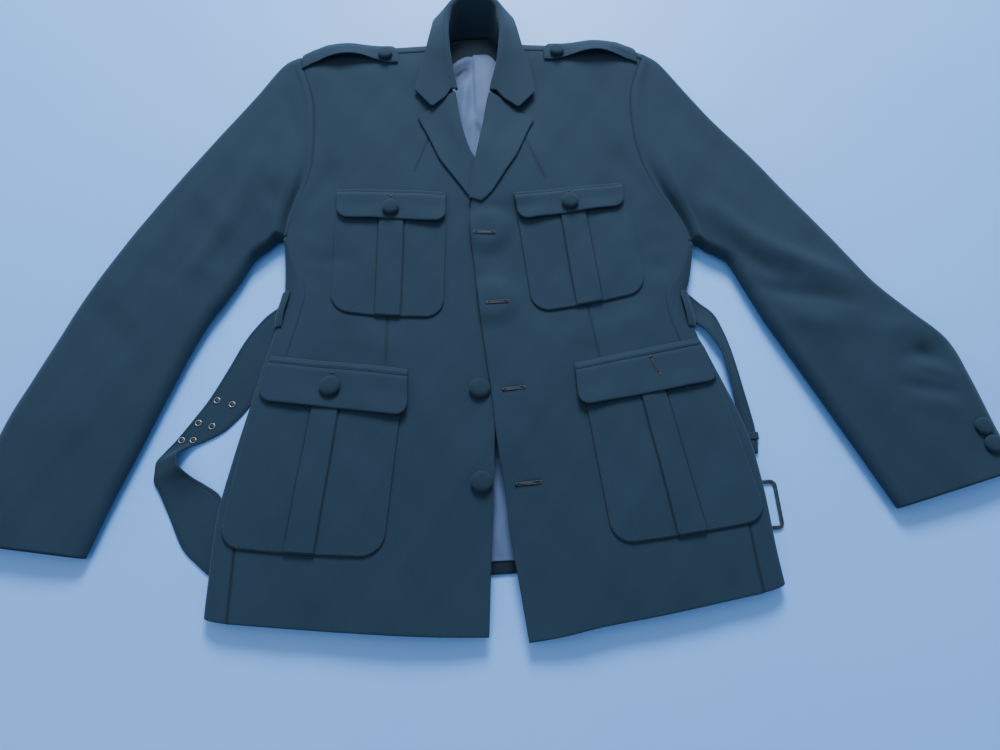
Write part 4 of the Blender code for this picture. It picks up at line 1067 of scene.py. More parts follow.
def make_front(side):
    out, y = front_plan(side)
    top = surface(side, out, y)
    reach = arcs(lay(side, out, y, top))
    dent = np.maximum(seam_dent(reach[3], side_seam(y)), seam_dent(reach[1], 0.3))
    for dart in DARTS[side]:
        dent = np.maximum(dent, line_dent(out, y, dart, *DART_DENT))
    if side == "left":
        for hole in FRONT_HOLES:
            dent = np.maximum(dent, line_dent(out, y, hole, *HOLE_DENT))
    outer, inner = lay(side, out, y, top), lay(side, out, y, top - WALL)
    FRONT_GRID[side] = outer
    edges = ("fold", None, "fold", None)
    below = ["lining_back_cloth"] if side == "right" else ["front_right_cloth", "lining_back_cloth"]
    dress_cloth(f"front_{side}", outer, inner, below, edges=edges, dent=dent)


def side_section(side, y, inset, turns=10):
    edge, high = side_edge(side, y), curve(HEIGHT, "y", "seam")(y)
    low_roll, high_roll = floor_roll(side, y), top_roll(side, y)
    flat = edge - low_roll - side_tuck(side, y) * np.array([1, 0.66, 0.33])
    quarter = np.radians(np.linspace(-90, 0, turns))
    low_out = edge - low_roll + (low_roll - inset) * np.cos(quarter)
    low_z = EDGE_HEIGHT + (EDGE_HEIGHT - inset) * np.sin(quarter)
    rise = np.radians(np.linspace(0, 90, turns + 3)[1:])
    high_out = edge - high_roll + (high_roll - inset) * np.cos(rise)
    high_z = EDGE_HEIGHT + (high - EDGE_HEIGHT - inset) * np.sin(rise)
    out = np.concatenate([flat, low_out, high_out])
    return out, np.concatenate([np.full(3, inset), low_z, high_z])


def side_grid(side, inset):
    rows = np.array(ROWS_OUT[side][: UNDERARM_ROW + 1], float)
    index = stations(*MESH["side_up"], dense_end=False) * UNDERARM_ROW
    grids = []
    for y in refined(rows, index):
        out, z = side_section(side, float(y), inset)
        share = np.linspace(0, 1, len(out))
        near_hem = np.clip((rows[1] - y) / (rows[1] - rows[0]), 0, 1)
        shift = (back_hem(out[0]) - rows[0]) * (1 - share) * near_hem
        clear = SLEEVE_CLEARANCE * ease(rows[-1] - 12, rows[-1], y)
        grids.append(lay(side, out, y + shift - clear, z))
    return np.stack(grids)


def make_side(side):
    outer = side_grid(side, 0.0)
    dent = seam_dent(arcs(outer)[3], side_seam(outer[..., 1] + HOME[1]))
    inner = side_grid(side, WALL)
    dress_cloth(f"side_{side}", outer, inner, ["back_cloth"], edges=FIRST_FOLDED, dent=dent)


def back_columns():
    right = [-out for out in reversed(CREST["right"]["out"])][:-1]
    neck = [-60, -54, -48, -42, -36, -28, -20, 0, 18, 24, 29, 33.5, 38, 44, 50]
    columns = np.array(right + neck + list(CREST["left"]["out"])[1:])
    return refined(columns, np.linspace(0, len(columns) - 1, 6 * len(columns) - 5))


def back_crest(x):
    plain = np.where(x < 0, crest("right", -x), crest("left", x))
    inside = (x > NECK["x"][0]) & (x < NECK["x"][-1])
    return np.where(inside, curve(NECK, "x", "y")(x), plain)


def back_hem(x):
    return -BACK_HEM_DROP * (np.abs(x) / 220) ** 2


def back_flat(x, end_y, inset):
    w = (x - x[0]) / (x[-1] - x[0])
    out, share = {}, {}
    for side in SIGN:
        out[side] = float(floor_out(side, end_y[side]))
        low = back_hem(out[side])
        share[side] = (end_y[side] - low) / (CREST[side]["y"][-1] - low)
    plan_x = -out["right"] * (1 - w) + out["left"] * w
    low = back_hem(plan_x)
    y = low + (back_crest(x) - low) * (share["right"] * (1 - w) + share["left"] * w)
    return np.stack([plan_x, y, np.full_like(x, inset)], axis=-1)


def back_rolled(x, share, inset):
    angle = curve(NECK, "x", "angle")(x)
    turn = np.radians(-90 + share * (angle + 90))
    half = SHOULDER_HEIGHT / 2
    y = back_crest(x) + (SHOULDER_ROLL - inset) * np.cos(turn)
    return np.stack([x, y, half + (half - inset) * np.sin(turn)], axis=-1)


def back_grid(inset, turns=16):
    x = back_columns()
    rows = []
    for i in range(len(ROWS_IN) - 1):
        end_y = {side: float(ROWS_OUT[side][i]) for side in SIGN}
        if i == 0:
            end_y = {side: back_hem(float(floor_out(side, -BACK_HEM_DROP))) for side in SIGN}
            first = back_flat(x, end_y, inset)
            second = back_flat(x, {side: float(ROWS_OUT[side][1]) for side in SIGN}, inset)
            rows += [first + (second - first) * share for share in (0, 0.01, 0.03, 0.08, 0.2, 0.5)]
            continue
        if i == UNDERARM_ROW:
            end_y = {side: UNDERARM[side] - 0.4 for side in SIGN}
        rows.append(back_flat(x, end_y, inset))
    rows += [back_rolled(x, share, inset) for share in np.linspace(0, 1, turns + 1)]
    grid = np.stack(rows)
    return lay_grid("left", grid)


def make_back():
    """The back; inside, its hem and the turn at its neck lie in shadow."""
    outer, inner = back_grid(0.0), back_grid(WALL)
    y = inner[..., 1] + HOME[1]
    shade = 0.8 * np.maximum(ease(LINING_HEM + 12, LINING_HEM, y), ease(690, 700, y))
    dress_cloth("back", outer, inner, [], edges=FIRST_FOLDED, inner_tint=shade)


LINING_FOLDS = table(
    "out1 y1 out2 y2 width height",
    (-36, 690, -6, 706, 6, 3.5),
    (-34, 664, -8, 684, 6, 4.5),
    (-30, 640, -12, 664, 6, 3.0),
    (-24, 560, -16, 640, 7, 4.0),
    (-12, 520, -9, 590, 5, 2.0),
    (2, 520, 6, 562, 5, 2.0),
    (8, 40, 10, 120, 7, 3.0),
    (-4, 20, -2, 100, 6, 2.5),
    (120, 0, 140, 200, 18, 2.5),
    (-140, 0, -120, 220, 18, 2.5),
)


LINING_SHADE = table(  # where the satin lies in shadow between its folds
    "out1 y1 out2 y2 width height",
    (-38, 676, -6, 694, 5, 0.9),
    (-34, 648, -10, 668, 6, 0.9),
    (-32, 700, 10, 706, 8, 0.8),
    (-4, 575, 4, 552, 4, 0.6),
)


LINING_PLEAT = {"x": (-6, -5), "y": (560, 690), "start": (575, 600), "step": 3.0}  # at the neck


def make_lining():
    w = stations(*MESH["lining_across"])
    rows = []
    for share in stations(*MESH["lining_up"]):
        reach = {}
        for side in SIGN:
            y_end = 8 + (CREST[side]["y"][-1] - 20 - 8) * share
            reach[side] = floor_out(side, y_end) - 6
        x = -reach["right"] * (1 - w) + reach["left"] * w
        low, high = back_hem(x) + LINING_HEM, back_crest(x) - LINING_TOP
        rows.append(np.stack([x, low + (high - low) * share], axis=-1))
    plan = np.stack(rows)
    x, y = plan[..., 0], plan[..., 1]
    beside = x - np.interp(y, LINING_PLEAT["y"], LINING_PLEAT["x"])
    above = ease(*LINING_PLEAT["start"], y)
    flat = ease(0, 3, beside) * above
    pleat = LINING_PLEAT["step"] * ease(-0.8, 0.8, beside) * above
    edge = ease(0, 12, y - plan[0, :, 1]) * ease(700, 676, y)
    rough = np.clip(sum_folds(LINING_FOLDS, x, y), 0, None) + 0.5 * ripple(2.2 * x, 2.2 * y)
    lift = (rough * (1 - 0.9 * flat) + 0.5 + pleat) * edge
    # painted shadow between the lining's folds and towards the neck
    tint = np.clip(sum_folds(LINING_SHADE, x, y) * (1 - flat) + 0.5 * ease(672, 700, y), 0, 0.95)
    low = WALL + GAP + np.clip(lift, 0, None)
    outer, inner = lay("left", x, y, low + SATIN), lay("left", x, y, low)
    obj = shell("lining_back_cloth", outer, inner, LINING, edges=FIRST_FOLDED, tint=tint)
    dress(obj, ["lining_back"])


def make_neck_facing():
    x = refined(NECK_COLUMNS, np.linspace(0, len(NECK_COLUMNS) - 1, 60))
    low = WALL + GAP + SATIN + GAP
    grids = []
    for inset in (low + NECK_FACING_WALL, low):
        rows = []
        for short in (LINING_TOP + 4, LINING_TOP + 3.6, LINING_TOP + 3, LINING_TOP, LINING_TOP / 2):
            rows.append(np.stack([x, back_crest(x) - short, np.full_like(x, inset)], axis=-1))
        rows += [back_rolled(x, share, inset) for share in np.linspace(0, 0.97, 14)]
        grid = np.stack(rows)
        grids.append(lay_grid("left", grid))
    form = {"edges": FIRST_FOLDED, "tint": NECK_SHADE, "inner_tint": NECK_SHADE}
    dress_cloth("neck_facing", *grids, ["back_cloth"], material=SHADED_FACING, **form)


# Sleeves


def mixed(first, second, share):
    return tuple(a * share + b * (1 - share) for a, b in zip(first, second))


SLEEVE_HUMPS = table(  # its head, the hollow at the underarm and the fullness beyond that
    "height ring reach start stop",
    (1.6, 0.22, 0.2, 0.75, 0.3),
    (-5.5, 0.36, 0.22, 0.5, 0.85),
    (2.5, 1.1, 0.4, 0.4, 0.7),
)
SLEEVE_RIPPLE = 1.3  # share of the cloth's unevenness that a sleeve has
ARMHOLE_JOIN = 0.05


class Sleeve:
    """The form of one sleeve at any place from the armhole, ring 0, to the cuff."""

    def __init__(self, side):
        self.side = side
        self.rows = SLEEVE[side]

    def edge(self, number, ring):
        return np.array([float(smooth(self.rows[f"{axis}{number}"], ring)) for axis in ("out", "y")])

    def near(self, ring):
        return float(smooth(FROM_ARMHOLE, ring))

    def widths(self, ring):
        outer = mixed(ARMHOLE_EDGE["outer"], SLEEVE_EDGE["outer"], self.near(ring))
        inner = mixed(ARMHOLE_EDGE["inner"], SLEEVE_EDGE["inner"], self.near(ring))
        return outer, inner

    def width(self, ring):
        return float(np.linalg.norm(self.edge(2, ring) - self.edge(1, ring)))

    def plan(self, ring, distance):
        share = (np.asarray(distance, float) / self.width(ring))[..., None]
        chord = self.edge(1, ring) * (1 - share) + self.edge(2, ring) * share
        first = self.edge(1, 0) * (1 - share) + self.edge(2, 0) * share
        bow = (armhole(self.side, first[..., 1]) + ARMHOLE_JOIN - first[..., 0]) * self.near(ring)
        return chord[..., 0] + bow, chord[..., 1]

    def height(self, ring, distance):
        share = np.asarray(distance, float) / self.width(ring)
        near = self.near(ring)
        y = self.edge(1, 0)[1] * (1 - share) + self.edge(2, 0)[1] * share
        body = surface(self.side, armhole(self.side, y), y)
        own = float(smooth(self.rows["top"], ring)) - SLEEVE_ARCH * (2 * share - 1) ** 2
        out, plan_y = self.plan(ring, distance)
        fold = fold_height(self.side, out, plan_y) + sum_folds(FINE_FOLDS[self.side], out, plan_y)
        fold = fold + SLEEVE_RIPPLE * ripple(SIGN[self.side] * out, plan_y)
        fold = fold * ease(0, 0.25, share) * ease(1, 0.75, share)
        humps = 0.0
        for height, place, reach, start, stop in zip(*SLEEVE_HUMPS.values()):
            humps = humps + height * np.exp(-(((ring - place) / reach) ** 2)) * ease(start, stop, share)
        return body * near + own * (1 - near) + fold * (1 - near**2) + humps

    def middle(self, ring, armhole_height):
        return armhole_height * self.near(ring) + MIDDLE_HEIGHT * (1 - self.near(ring))

    def upper(self, ring, inset):
        outer, inner = self.widths(ring)
        width = self.width(ring)
        fall = np.radians(np.linspace(-90, 0, 8))
        rise = np.radians(np.linspace(0, 90, 11)[1:])
        parts = []
        ends = (
            (outer, self.middle(ring, SHOULDER_HEIGHT / 2), outer[0]),
            (inner, self.middle(ring, EDGE_HEIGHT), width - inner[0]),
        )
        for (roll, floor, tuck), middle, distance in ends:
            top = self.height(ring, np.array([distance]))[0]
            flat = [floor + tuck, floor + tuck / 2]
            low = floor - (floor - inset) * np.cos(fall)
            high = roll - (roll - inset) * np.cos(rise)
            low_z = middle + (middle - inset) * np.sin(fall)
            high_z = middle + (top - middle - inset) * np.sin(rise)
            parts.append((np.concatenate([flat, low, high]), np.concatenate([[inset, inset], low_z, high_z])))
        run = outer[0] + (width - outer[0] - inner[0]) * np.linspace(0, 1, 42)[1:-1]
        distance = np.concatenate([parts[0][0], run, width - parts[1][0][::-1]])
        heights = np.concatenate([parts[0][1], self.height(ring, run) - inset, parts[1][1][::-1]])
        out, y = self.plan(ring, distance)
        return lay(self.side, out, y, heights)

    def under(self, ring, inset):
        outer, inner = self.widths(ring)
        start = outer[1] + outer[2] + GAP
        stop = self.width(ring) - inner[1] - inner[2] - GAP
        out, y = self.plan(ring, np.linspace(start, stop, 16))
        return lay(self.side, out, y, np.full(16, float(inset)))


def make_sleeve(side):
    sleeve = Sleeve(side)
    last = len(FROM_ARMHOLE) - 1
    rings = stations(*MESH["sleeve_along"]) * last
    for name, section in (("upper_sleeve", sleeve.upper), ("under_sleeve", sleeve.under)):
        chosen = rings if name == "upper_sleeve" else rings[::3]
        chosen = np.unique(np.append(chosen, last))
        grids = [np.stack([section(ring, inset) for ring in chosen]) for inset in (0.0, WALL)]
        dent = seam_dent(arcs(grids[0])[0], 0.5)
        dress_cloth(f"{name}_{side}", *grids, [], edges=(None, "fold", None, None), dent=dent)


# Lapels and collar


def surface_normals(grid):
    along, across = np.gradient(grid, axis=0), np.gradient(grid, axis=1)
    normal = np.cross(across, along)
    return normal / np.linalg.norm(normal, axis=-1, keepdims=True)


def make_lapel(side):
    rows = LAPEL[side]
    index = stations(*MESH["lapel_up"]) * (len(rows["roll"]) - 1)
    roll_y = smooth(rows["roll"], index)[:, None]
    roll = curve(FRONT_EDGE[side], "y", "out")(roll_y)
    edge_out, edge_y = smooth(rows["out"], index)[:, None], smooth(rows["y"], index)[:, None]
    share = np.concatenate([[0.03, 0.07], stations(*MESH["lapel_across"])[1:]])
    share = np.unique(share[share >= 0.03])[None, :]
    out = roll + (edge_out - roll) * share
    y = roll_y + (edge_y - roll_y) * share
    open_part = ease(500, 560, roll_y) * np.exp(-(((share - 0.15) / 0.25) ** 2))
    rise = ROLL_LIFT * open_part + 0.8 * ease(0.75, 1, share) * ease(0, 0.25, index[:, None] / index[-1])
    base = surface(side, out, y) + rise
    edge = surface(side, roll, roll_y)
    grids = []
    turn = np.radians(np.linspace(180, 95, 9))[None, :]
    for reach, rest, lift in ((2.5, TRIM + LAPEL_LIFT, LAPEL_LIFT + TRIM), (0.3, LAPEL_LIFT, LAPEL_LIFT)):
        start_lift = base[:, :1] - edge
        curl_out = np.concatenate([roll - 0.2 - reach, roll - 0.2 + reach * np.cos(turn)], axis=1)
        high = (rest + start_lift) * np.sin(turn)
        curl_z = np.concatenate([edge - 2.0, edge + high], axis=1)
        curl_y = np.repeat(roll_y, curl_out.shape[1], axis=1)
        grids.append(
            lay(
                side,
                np.concatenate([curl_out, out], axis=1),
                np.concatenate([curl_y, y], axis=1),
                np.concatenate([curl_z, base + lift], axis=1),
            )
        )
    below = ["front_right_cloth"] if side == "right" else ["front_left_cloth"]
    dress_cloth(f"lapel_{side}", *grids, below, edges=("fold", "fold", None, "fold"))


def collar_rows(index):
    columns = {name: np.array(values) for name, values in COLLAR.items()}
    height = columns["nz"].copy()
    for i, (x, y) in enumerate(zip(columns["nx"], columns["ny"])):
        if y < NECK_END:
            side = "right" if x < 0 else "left"
            height[i] = surface(side, abs(x), y) + COLLAR_FOOT
    columns["nz"] = height
    return {name: smooth(values, index) for name, values in columns.items()}


COLLAR_SEAM = 6.6  # how deep the stand is sewn into the back's neck


def collar_section(row):
    neck, roll, edge = (np.array([row[f"{k}{axis}"] for axis in "xyz"]) for k in "nre")
    stand, leaf = neck - roll, edge - roll
    soft_in = min(ROLL_SOFTNESS, 0.45 * np.linalg.norm(stand)) / np.linalg.norm(stand)
    soft_out = ROLL_SOFTNESS / np.linalg.norm(leaf)
    start, stop = roll + stand * soft_in, roll + leaf * soft_out
    foot = (0.4 + COLLAR_SEAM * float(ease(672, 690, neck[1]))) / np.linalg.norm(stand)
    points = [neck + stand * foot] + [neck + (start - neck) * s for s in np.linspace(0, 1, 9)[:-1]]
    for s in np.linspace(0, 1, 10):
        points.append(start * (1 - s) ** 2 + roll * 2 * s * (1 - s) + stop * s * s)
    shares = soft_out + (1 - soft_out) * stations(*MESH["collar_leaf"], dense_start=False)[1:]
    points = np.array(points + [roll + leaf * share for share in shares])
    dip = np.interp(shares, (soft_out, 0.28, NOTCH, 1), (0, 0.28 / NOTCH, 1, 0)) * row["dip"]
    points[len(points) - len(shares) :, 1] -= dip
    return points


def make_collar():
    index = stations(*MESH["collar_round"]) * (len(COLLAR["nx"]) - 1)
    rows = collar_rows(index)
    outer = np.stack([collar_section({name: rows[name][i] for name in rows}) for i in range(len(index))])
    inner = outer - surface_normals(outer) * COLLAR_WALL
    grids = [lay_grid("left", grid) for grid in (outer, inner)]
    below = ["front_left_cloth", "front_right_cloth", "back_cloth"]
    dress_cloth("collar", *grids, below, edges=("fold", "fold", None, "fold"))


# Pockets


def patch_plan(corners, radius, columns, rows, sag=0.0, turns=13):
    """A four-sided patch in plan with two round lower corners, and its folded outline."""
    top_in, top_out, low_in, low_out = (np.array(corner, float) for corner in corners)
    height = np.linalg.norm((top_in + top_out - low_in - low_out) / 2)
    width = np.linalg.norm(low_out - low_in)
    angles = np.radians(np.linspace(0, 90, turns))
    round_rows = [1 - radius / height * (1 - math.sin(angle)) for angle in angles]
    rows = [row for row in rows if row < round_rows[0] - 0.01] + round_rows
    u, v = np.meshgrid(np.array(columns), np.array(rows))
    left = (1 - v) * height
    cut = np.where(left < radius, radius - np.sqrt(np.clip(radius**2 - (radius - left) ** 2, 0, None)), 0)
    across = cut / width + u * (1 - 2 * cut / width)
    top = top_in + (top_out - top_in) * across[..., None]
    low = low_in + (low_out - low_in) * across[..., None]
    plan = top + (low - top) * v[..., None]
    plan[..., 1] += sag * np.sin(math.pi * across) * v
    return plan[..., 0], plan[..., 1], across, v, height, width


def patch_size(corners):
    """Width of a patch along its lower edge, and its height."""
    width = math.hypot(corners[3][0] - corners[2][0], corners[3][1] - corners[2][1])
    return width, corners[0][1] - corners[2][1]


def folded_outline(out, y):
    """The two sides and the lower edge of a patch, as one line."""
    first = np.stack([out[:, 0], y[:, 0]], axis=-1)
    low = np.stack([out[-1, 1:-1], y[-1, 1:-1]], axis=-1)
    last = np.stack([out[::-1, -1], y[::-1, -1]], axis=-1)
    return np.concatenate([first, low, last])


def bag_columns(width, first, last):
    near = [step / width for step in (-3.0, -1.8, -1.1, -0.7, -0.35, 0.0, 0.35, 0.8, 1.6)]
    pleat = [first + step for step in near] + [last - step for step in near]
    plain = [s for s in stations(width, 2.4) if min(abs(s - first), abs(s - last)) > 3.4 / width]
    return sorted(plain + pleat)


STITCHES = []  # (starts, stops, normals) of each line of sewing
STITCH_PITCH, STITCH_LENGTH, STITCH_RISE = 3.1, 2.2, 0.05
EDGE_LINE = 3.0  # how far inside its edges a strap or the belt is sewn
EDGE_LINE_DENT = (0.35, 0.8)  # depth and reach of the hollow along that line, which is also painted darker as shade


def edge_line(distance):
    deep, wide = EDGE_LINE_DENT
    return deep * np.exp(-(((distance - EDGE_LINE) / wide) ** 2))


def stitch_ends(path, first):
    """Starts and stops of the stitches along a path, where they start, and the path's run."""
    run = np.concatenate([[0], np.cumsum(np.linalg.norm(np.diff(path, axis=0), axis=1))])
    places = np.arange(first, run[-1] - STITCH_PITCH, STITCH_PITCH)
    ends = []
    for offset in (0, STITCH_LENGTH):
        ends.append(np.stack([np.interp(places + offset, run, line) for line in path.T], axis=-1))
    return ends, places, run


def sew(path, grid):
    """A line of stitches along a path in plan, on the surface of a grid."""
    ends, places, _ = stitch_ends(path, 0.5 * STITCH_PITCH)
    for k in range(2):
        z = np.array([grid_height(grid, x, y) for x, y in ends[k]]) + STITCH_RISE
        ends[k] = np.column_stack([ends[k], z])
    STITCHES.append((*ends, np.tile([0.0, 0.0, 1.0], (len(places), 1))))


def inset_path(line, inset, side):
    """A folded outline moved inwards, in the row's frame."""
    x = SIGN[side] * line[:, 0] - HOME[0]
    points = np.stack([x, line[:, 1] - HOME[1]], axis=-1)
    along = np.gradient(points, axis=0)
    along /= np.linalg.norm(along, axis=1, keepdims=True)
    normal = np.stack([-along[:, 1], along[:, 0]], axis=-1)
    middle = points.mean(axis=0)
    if np.einsum("ij,ij->", normal, middle - points) < 0:
        normal = -normal
    return points + normal * inset


def make_bag(name):
    side, corners, radius, sag = POCKETS[name]
    width, height = patch_size(corners)
    first, last = PLEAT[name.split("_")[0]]
    columns, rows = bag_columns(width, first, last), list(stations(height, 2.6, dense_end=False))
    out, y, across, v, *_ = patch_plan(corners, radius, columns, rows, sag)
    out = np.minimum(out, side_edge(side, y) - EDGE_CLEARANCE)
    steep = ease(-5, 12, out - seam_out(side, y))
    low = surface(side, out, y) + BAG_LIFT + BAG_ROLL_LIFT * steep
    into = np.minimum((across - first) * width, (last - across) * width)
    raised = (PLEAT_RAISE + 0.5) * ease(-0.25, 0.45, into)
    groove = 0.7 * np.exp(-(((into + 0.9) / 0.6) ** 2))
    puff = 0.9 * ease(0, 30, np.minimum(across, 1 - across) * width) * ease(0, 0.2, v) * ease(1, 0.75, v)
    outer = lay(side, out, y, low + TRIM + raised + puff)
    inner = lay(side, out, y, low + 0.4 * puff)
    line = folded_outline(out, y)
    away = outline_distance(np.stack([out, y], axis=-1), line)
    dress_cloth(name, outer, inner, [f"front_{side}_cloth"], away=away, dent=groove)
    path = inset_path(line[::2], 1.9, side)
    sew(path[path[:, 1] < corners[0][1] - HOME[1] - 30], outer)


FLAP_RIDGE = {"chest": (3.2, 0.5), "lower": (7.5, 1.3)}  # depth of the seam ridge and its height
FLAP_HOLES = {
    "chest_flap_right": (112, 428, 111.5, 443),
    "chest_flap_left": (101.5, 425, 101, 439),
    "lower_flap_right": (178.5, 206, 177, 221),
    "lower_flap_left": (181, 201, 173.5, 222),
}
FLAP_HOLE_DENT = (0.8, 0.9)
FLAP_GRID = {}


def make_flap(name):
    side, corners, radius = FLAPS[name]
    width, height = patch_size(corners)
    rows = list(stations(height, 1.7, dense_end=False))
    out, y, across, v, _, _ = patch_plan(corners, radius, list(stations(width, 2.0)), rows)
    held = np.minimum(out, side_edge(side, y) - 12)
    at_seam, over_bag, flare = FLAP_LIFT
    curl = flare * ease(0.5, 1, v) * (1 + 0.6 * np.sin(3.1 * math.pi * across + 0.8))
    low = surface(side, held, y) + at_seam + over_bag * ease(0, 0.26, v) + np.clip(curl, 0, None)
    deep, high = FLAP_RIDGE[name.split("_")[0]]
    from_top = v * height
    ridge = high * ease(0, 1.6, from_top) * ease(deep + 1.2, deep - 0.6, from_top)
    groove = 0.75 * np.exp(-(((from_top - deep - 1.0) / 0.9) ** 2))
    outer, inner = lay(side, out, y, low + TRIM + ridge), lay(side, out, y, low)
    away = outline_distance(np.stack([out, y], axis=-1), folded_outline(out, y))
    dent = np.maximum(groove, line_dent(out, y, FLAP_HOLES[name], *FLAP_HOLE_DENT))
    below = [name.replace("flap", "pocket") + "_cloth", f"front_{side}_cloth"]
    dress_cloth(name, outer, inner, below, away=away, dent=dent, edges=FIRST_FOLDED)
    FLAP_GRID[name] = outer
    top = np.stack([out[0], y[0]], axis=-1)[::3] + np.array([0, -deep - 1.0])
    top[:, 0] = SIGN[side] * top[:, 0] - HOME[0]
    top[:, 1] -= HOME[1]
    sew(top[1:-1], outer)


# Shoulder straps


STRAP_WIDTH = 37.0
STRAP_FRONT_LIFT = 7.0  # how far the front edge stands off between its ends


def over_shoulder(side, out, run, rise):
    half = SHOULDER_HEIGHT / 2
    angle = np.clip(run, 0, None) / (half + 1)
    y = crest(side, out) + np.minimum(run, 0) + (SHOULDER_ROLL + rise) * np.sin(angle)
    flat = surface(side, out, crest(side, out) + np.minimum(run, 0)) + rise
    return y, np.where(run < 0, flat, half + (half + rise) * np.cos(angle))


def strap_rise(side, out, share=0.5):
    ends = STRAP[side]["out"]
    run = np.clip((ends[0] - out) / (ends[0] - ends[-1]), 0, 1)
    arch = STRAP_ARCH * np.sin(math.pi * np.clip(run * 1.25, 0, 1)) ** 2
    front = STRAP_FRONT_LIFT * (1 - share) ** 1.5 * np.sin(math.pi * np.clip(run * 1.15 - 0.05, 0, 1)) ** 2
    return 1.0 + arch + front


def make_strap(side):
    rows = STRAP[side]
    index = stations(*MESH["strap_along"]) * (len(rows["out"]) - 1)
    share = stations(STRAP_WIDTH, 1.6)[None, :]
    out = refined(rows["out"], index)[:, None] + 0 * share
    front, back = smooth(rows["front"], index)[:, None], smooth(rows["back"], index)[:, None]
    run = front + (back - front) * share
    rise = strap_rise(side, out, share)
    grids = []
    for thick in (TRIM, 0):
        y, z = over_shoulder(side, out, run, rise + thick)
        grids.append(lay(side, out, y, z))
    line = edge_line(np.minimum(share, 1 - share) * STRAP_WIDTH) + 0 * out
    edges = ("seam", "fold", "fold", "fold")
    dress_cloth(f"shoulder_strap_{side}", *grids, [f"front_{side}_cloth"], edges=edges, dent=line)


# Buttons

DOME = table(  # a covered button: shank, rim and dome, as shares of its radius and height
    "radius height",
    (0.3, 0.0),
    (0.34, 0.1),
    (0.86, 0.16),
    (0.97, 0.26),
    (1.0, 0.42),
    (0.98, 0.58),
    (0.9, 0.74),
    (0.76, 0.87),
    (0.55, 0.95),
    (0.3, 0.99),
    (0.06, 1.0),
)
BUTTON_SIDES = 36
STRAP_BUTTON_SIZE, CUFF_BUTTON_SIZE = (9.0, 6.5), (9.8, 6.0)  # radius and height


def cap_quads(first, sides):
    last = first + sides - 1
    return [(first + k, first + k + 1, last - k - 1, last - k) for k in range(sides // 2 - 1)]


def lathe(name, centre, normal, profile, material, sides=BUTTON_SIDES):
    """A turned piece: profile is a list of radii and heights along the normal."""
    normal = np.array(normal, float) / np.linalg.norm(normal)
    across = np.cross([0, 1, 0], normal)
    across /= np.linalg.norm(across)
    along = np.cross(normal, across)
    turn = np.linspace(0, 2 * math.pi, sides, endpoint=False)
    ring = np.cos(turn)[:, None] * across + np.sin(turn)[:, None] * along
    flat = np.stack([np.cos(turn), np.sin(turn)], axis=-1)
    points, uv, quads, reach = [], [], [], 0.0
    before = profile[0]
    for radius, high in profile:
        reach += math.hypot(radius - before[0], high - before[1])
        before = (radius, high)
        points.append(centre + ring * radius + normal * high)
        uv.append(flat * (profile[-1][1] * 3 + 30 - reach))
    for k in range(len(profile) - 1):
        for i in range(sides):
            j = (i + 1) % sides
            a, b = k * sides, (k + 1) * sides
            quads.append((a + i, a + j, b + j, b + i))
    quads += [tuple(reversed(quad)) for quad in cap_quads(0, sides)]
    quads += cap_quads((len(profile) - 1) * sides, sides)
    return closed_mesh(name, np.concatenate(points), np.array(quads), np.concatenate(uv), material)


def button(name, centre, normal, radius, height):
    count = len(DOME["radius"])
    index = np.linspace(0, count - 1, 3 * count)
    profile = list(zip(smooth(DOME["radius"], index) * radius, smooth(DOME["height"], index) * height))
    dress(lathe(name + "_cloth", centre, normal, profile, BUTTON_CLOTH), [name])


def seat(side, out, y, rise):
    step = 4.0
    z = surface(side, out, y)
    slope_out = (surface(side, out + step, y) - surface(side, out - step, y)) / (2 * step)
    slope_y = (surface(side, out, y + step) - surface(side, out, y - step)) / (2 * step)
    return lay(side, out, y, z + rise), (-SIGN[side] * float(slope_out), -float(slope_y), 1.0)


def sleeve_seat(side, out, y):
    """A foot on the upper sleeve near its outer edge, found along its last stretch."""
    sleeve = Sleeve(side)
    best = None
    for ring in np.linspace(11, 12, 80):
        start, stop = sleeve.edge(1, ring), sleeve.edge(2, ring)
        across = (stop - start) / np.linalg.norm(stop - start)
        offset = np.array([out, y]) - start
        distance = float(offset @ across)
        miss = float(np.linalg.norm(offset - across * distance))
        if best is None or miss < best[0]:
            best = (miss, distance, ring)
    _, distance, ring = best
    roll = SLEEVE_EDGE["outer"][0]
    top = sleeve.height(ring, np.array([max(distance, roll)]))[0]
    share = float(np.clip(1 - distance / roll, 0, 1))
    z = MIDDLE_HEIGHT + (top - MIDDLE_HEIGHT) * math.sqrt(1 - share**2)
    return lay(side, out, y, z + 0.5), (SIGN[side] * 0.5 * share, 0.0, 1.0)


def make_buttons():
    flap_top = FLAP_LIFT[0] + FLAP_LIFT[1] + TRIM
    for name, (side, out, y, radius) in FLAP_BUTTONS.items():
        centre, normal = seat(side, out, y, flap_top + 0.6)
        button(name, centre, normal, radius, BUTTON_HEIGHT)
    for i, (y, x, hidden) in enumerate(zip(*BUTTON_ROWS.values())):
        centre, normal = seat("right", -x, y, 0.2)
        height = HIDDEN_BUTTON_HEIGHT - 0.6 if hidden else BUTTON_HEIGHT
        button(f"button_front_{i + 1}", centre, (0, 0, 1) if hidden else normal, BUTTON_RADIUS, height)
    for side, (out, run) in STRAP_BUTTON.items():
        rise = strap_rise(side, out) + TRIM + 0.3
        y, z = over_shoulder(side, np.array(out), np.array(run), rise)
        button(f"button_strap_{side}", lay(side, out, y, z), (0, 0.05, 1), *STRAP_BUTTON_SIZE)
    for side, places in CUFF_BUTTONS.items():
        for number, (out, y) in enumerate(places, 1):
            centre, normal = sleeve_seat(side, out, y)
            button(f"button_cuff_{side}_{number}", centre, normal, *CUFF_BUTTON_SIZE)


# Buttonholes and other sewing


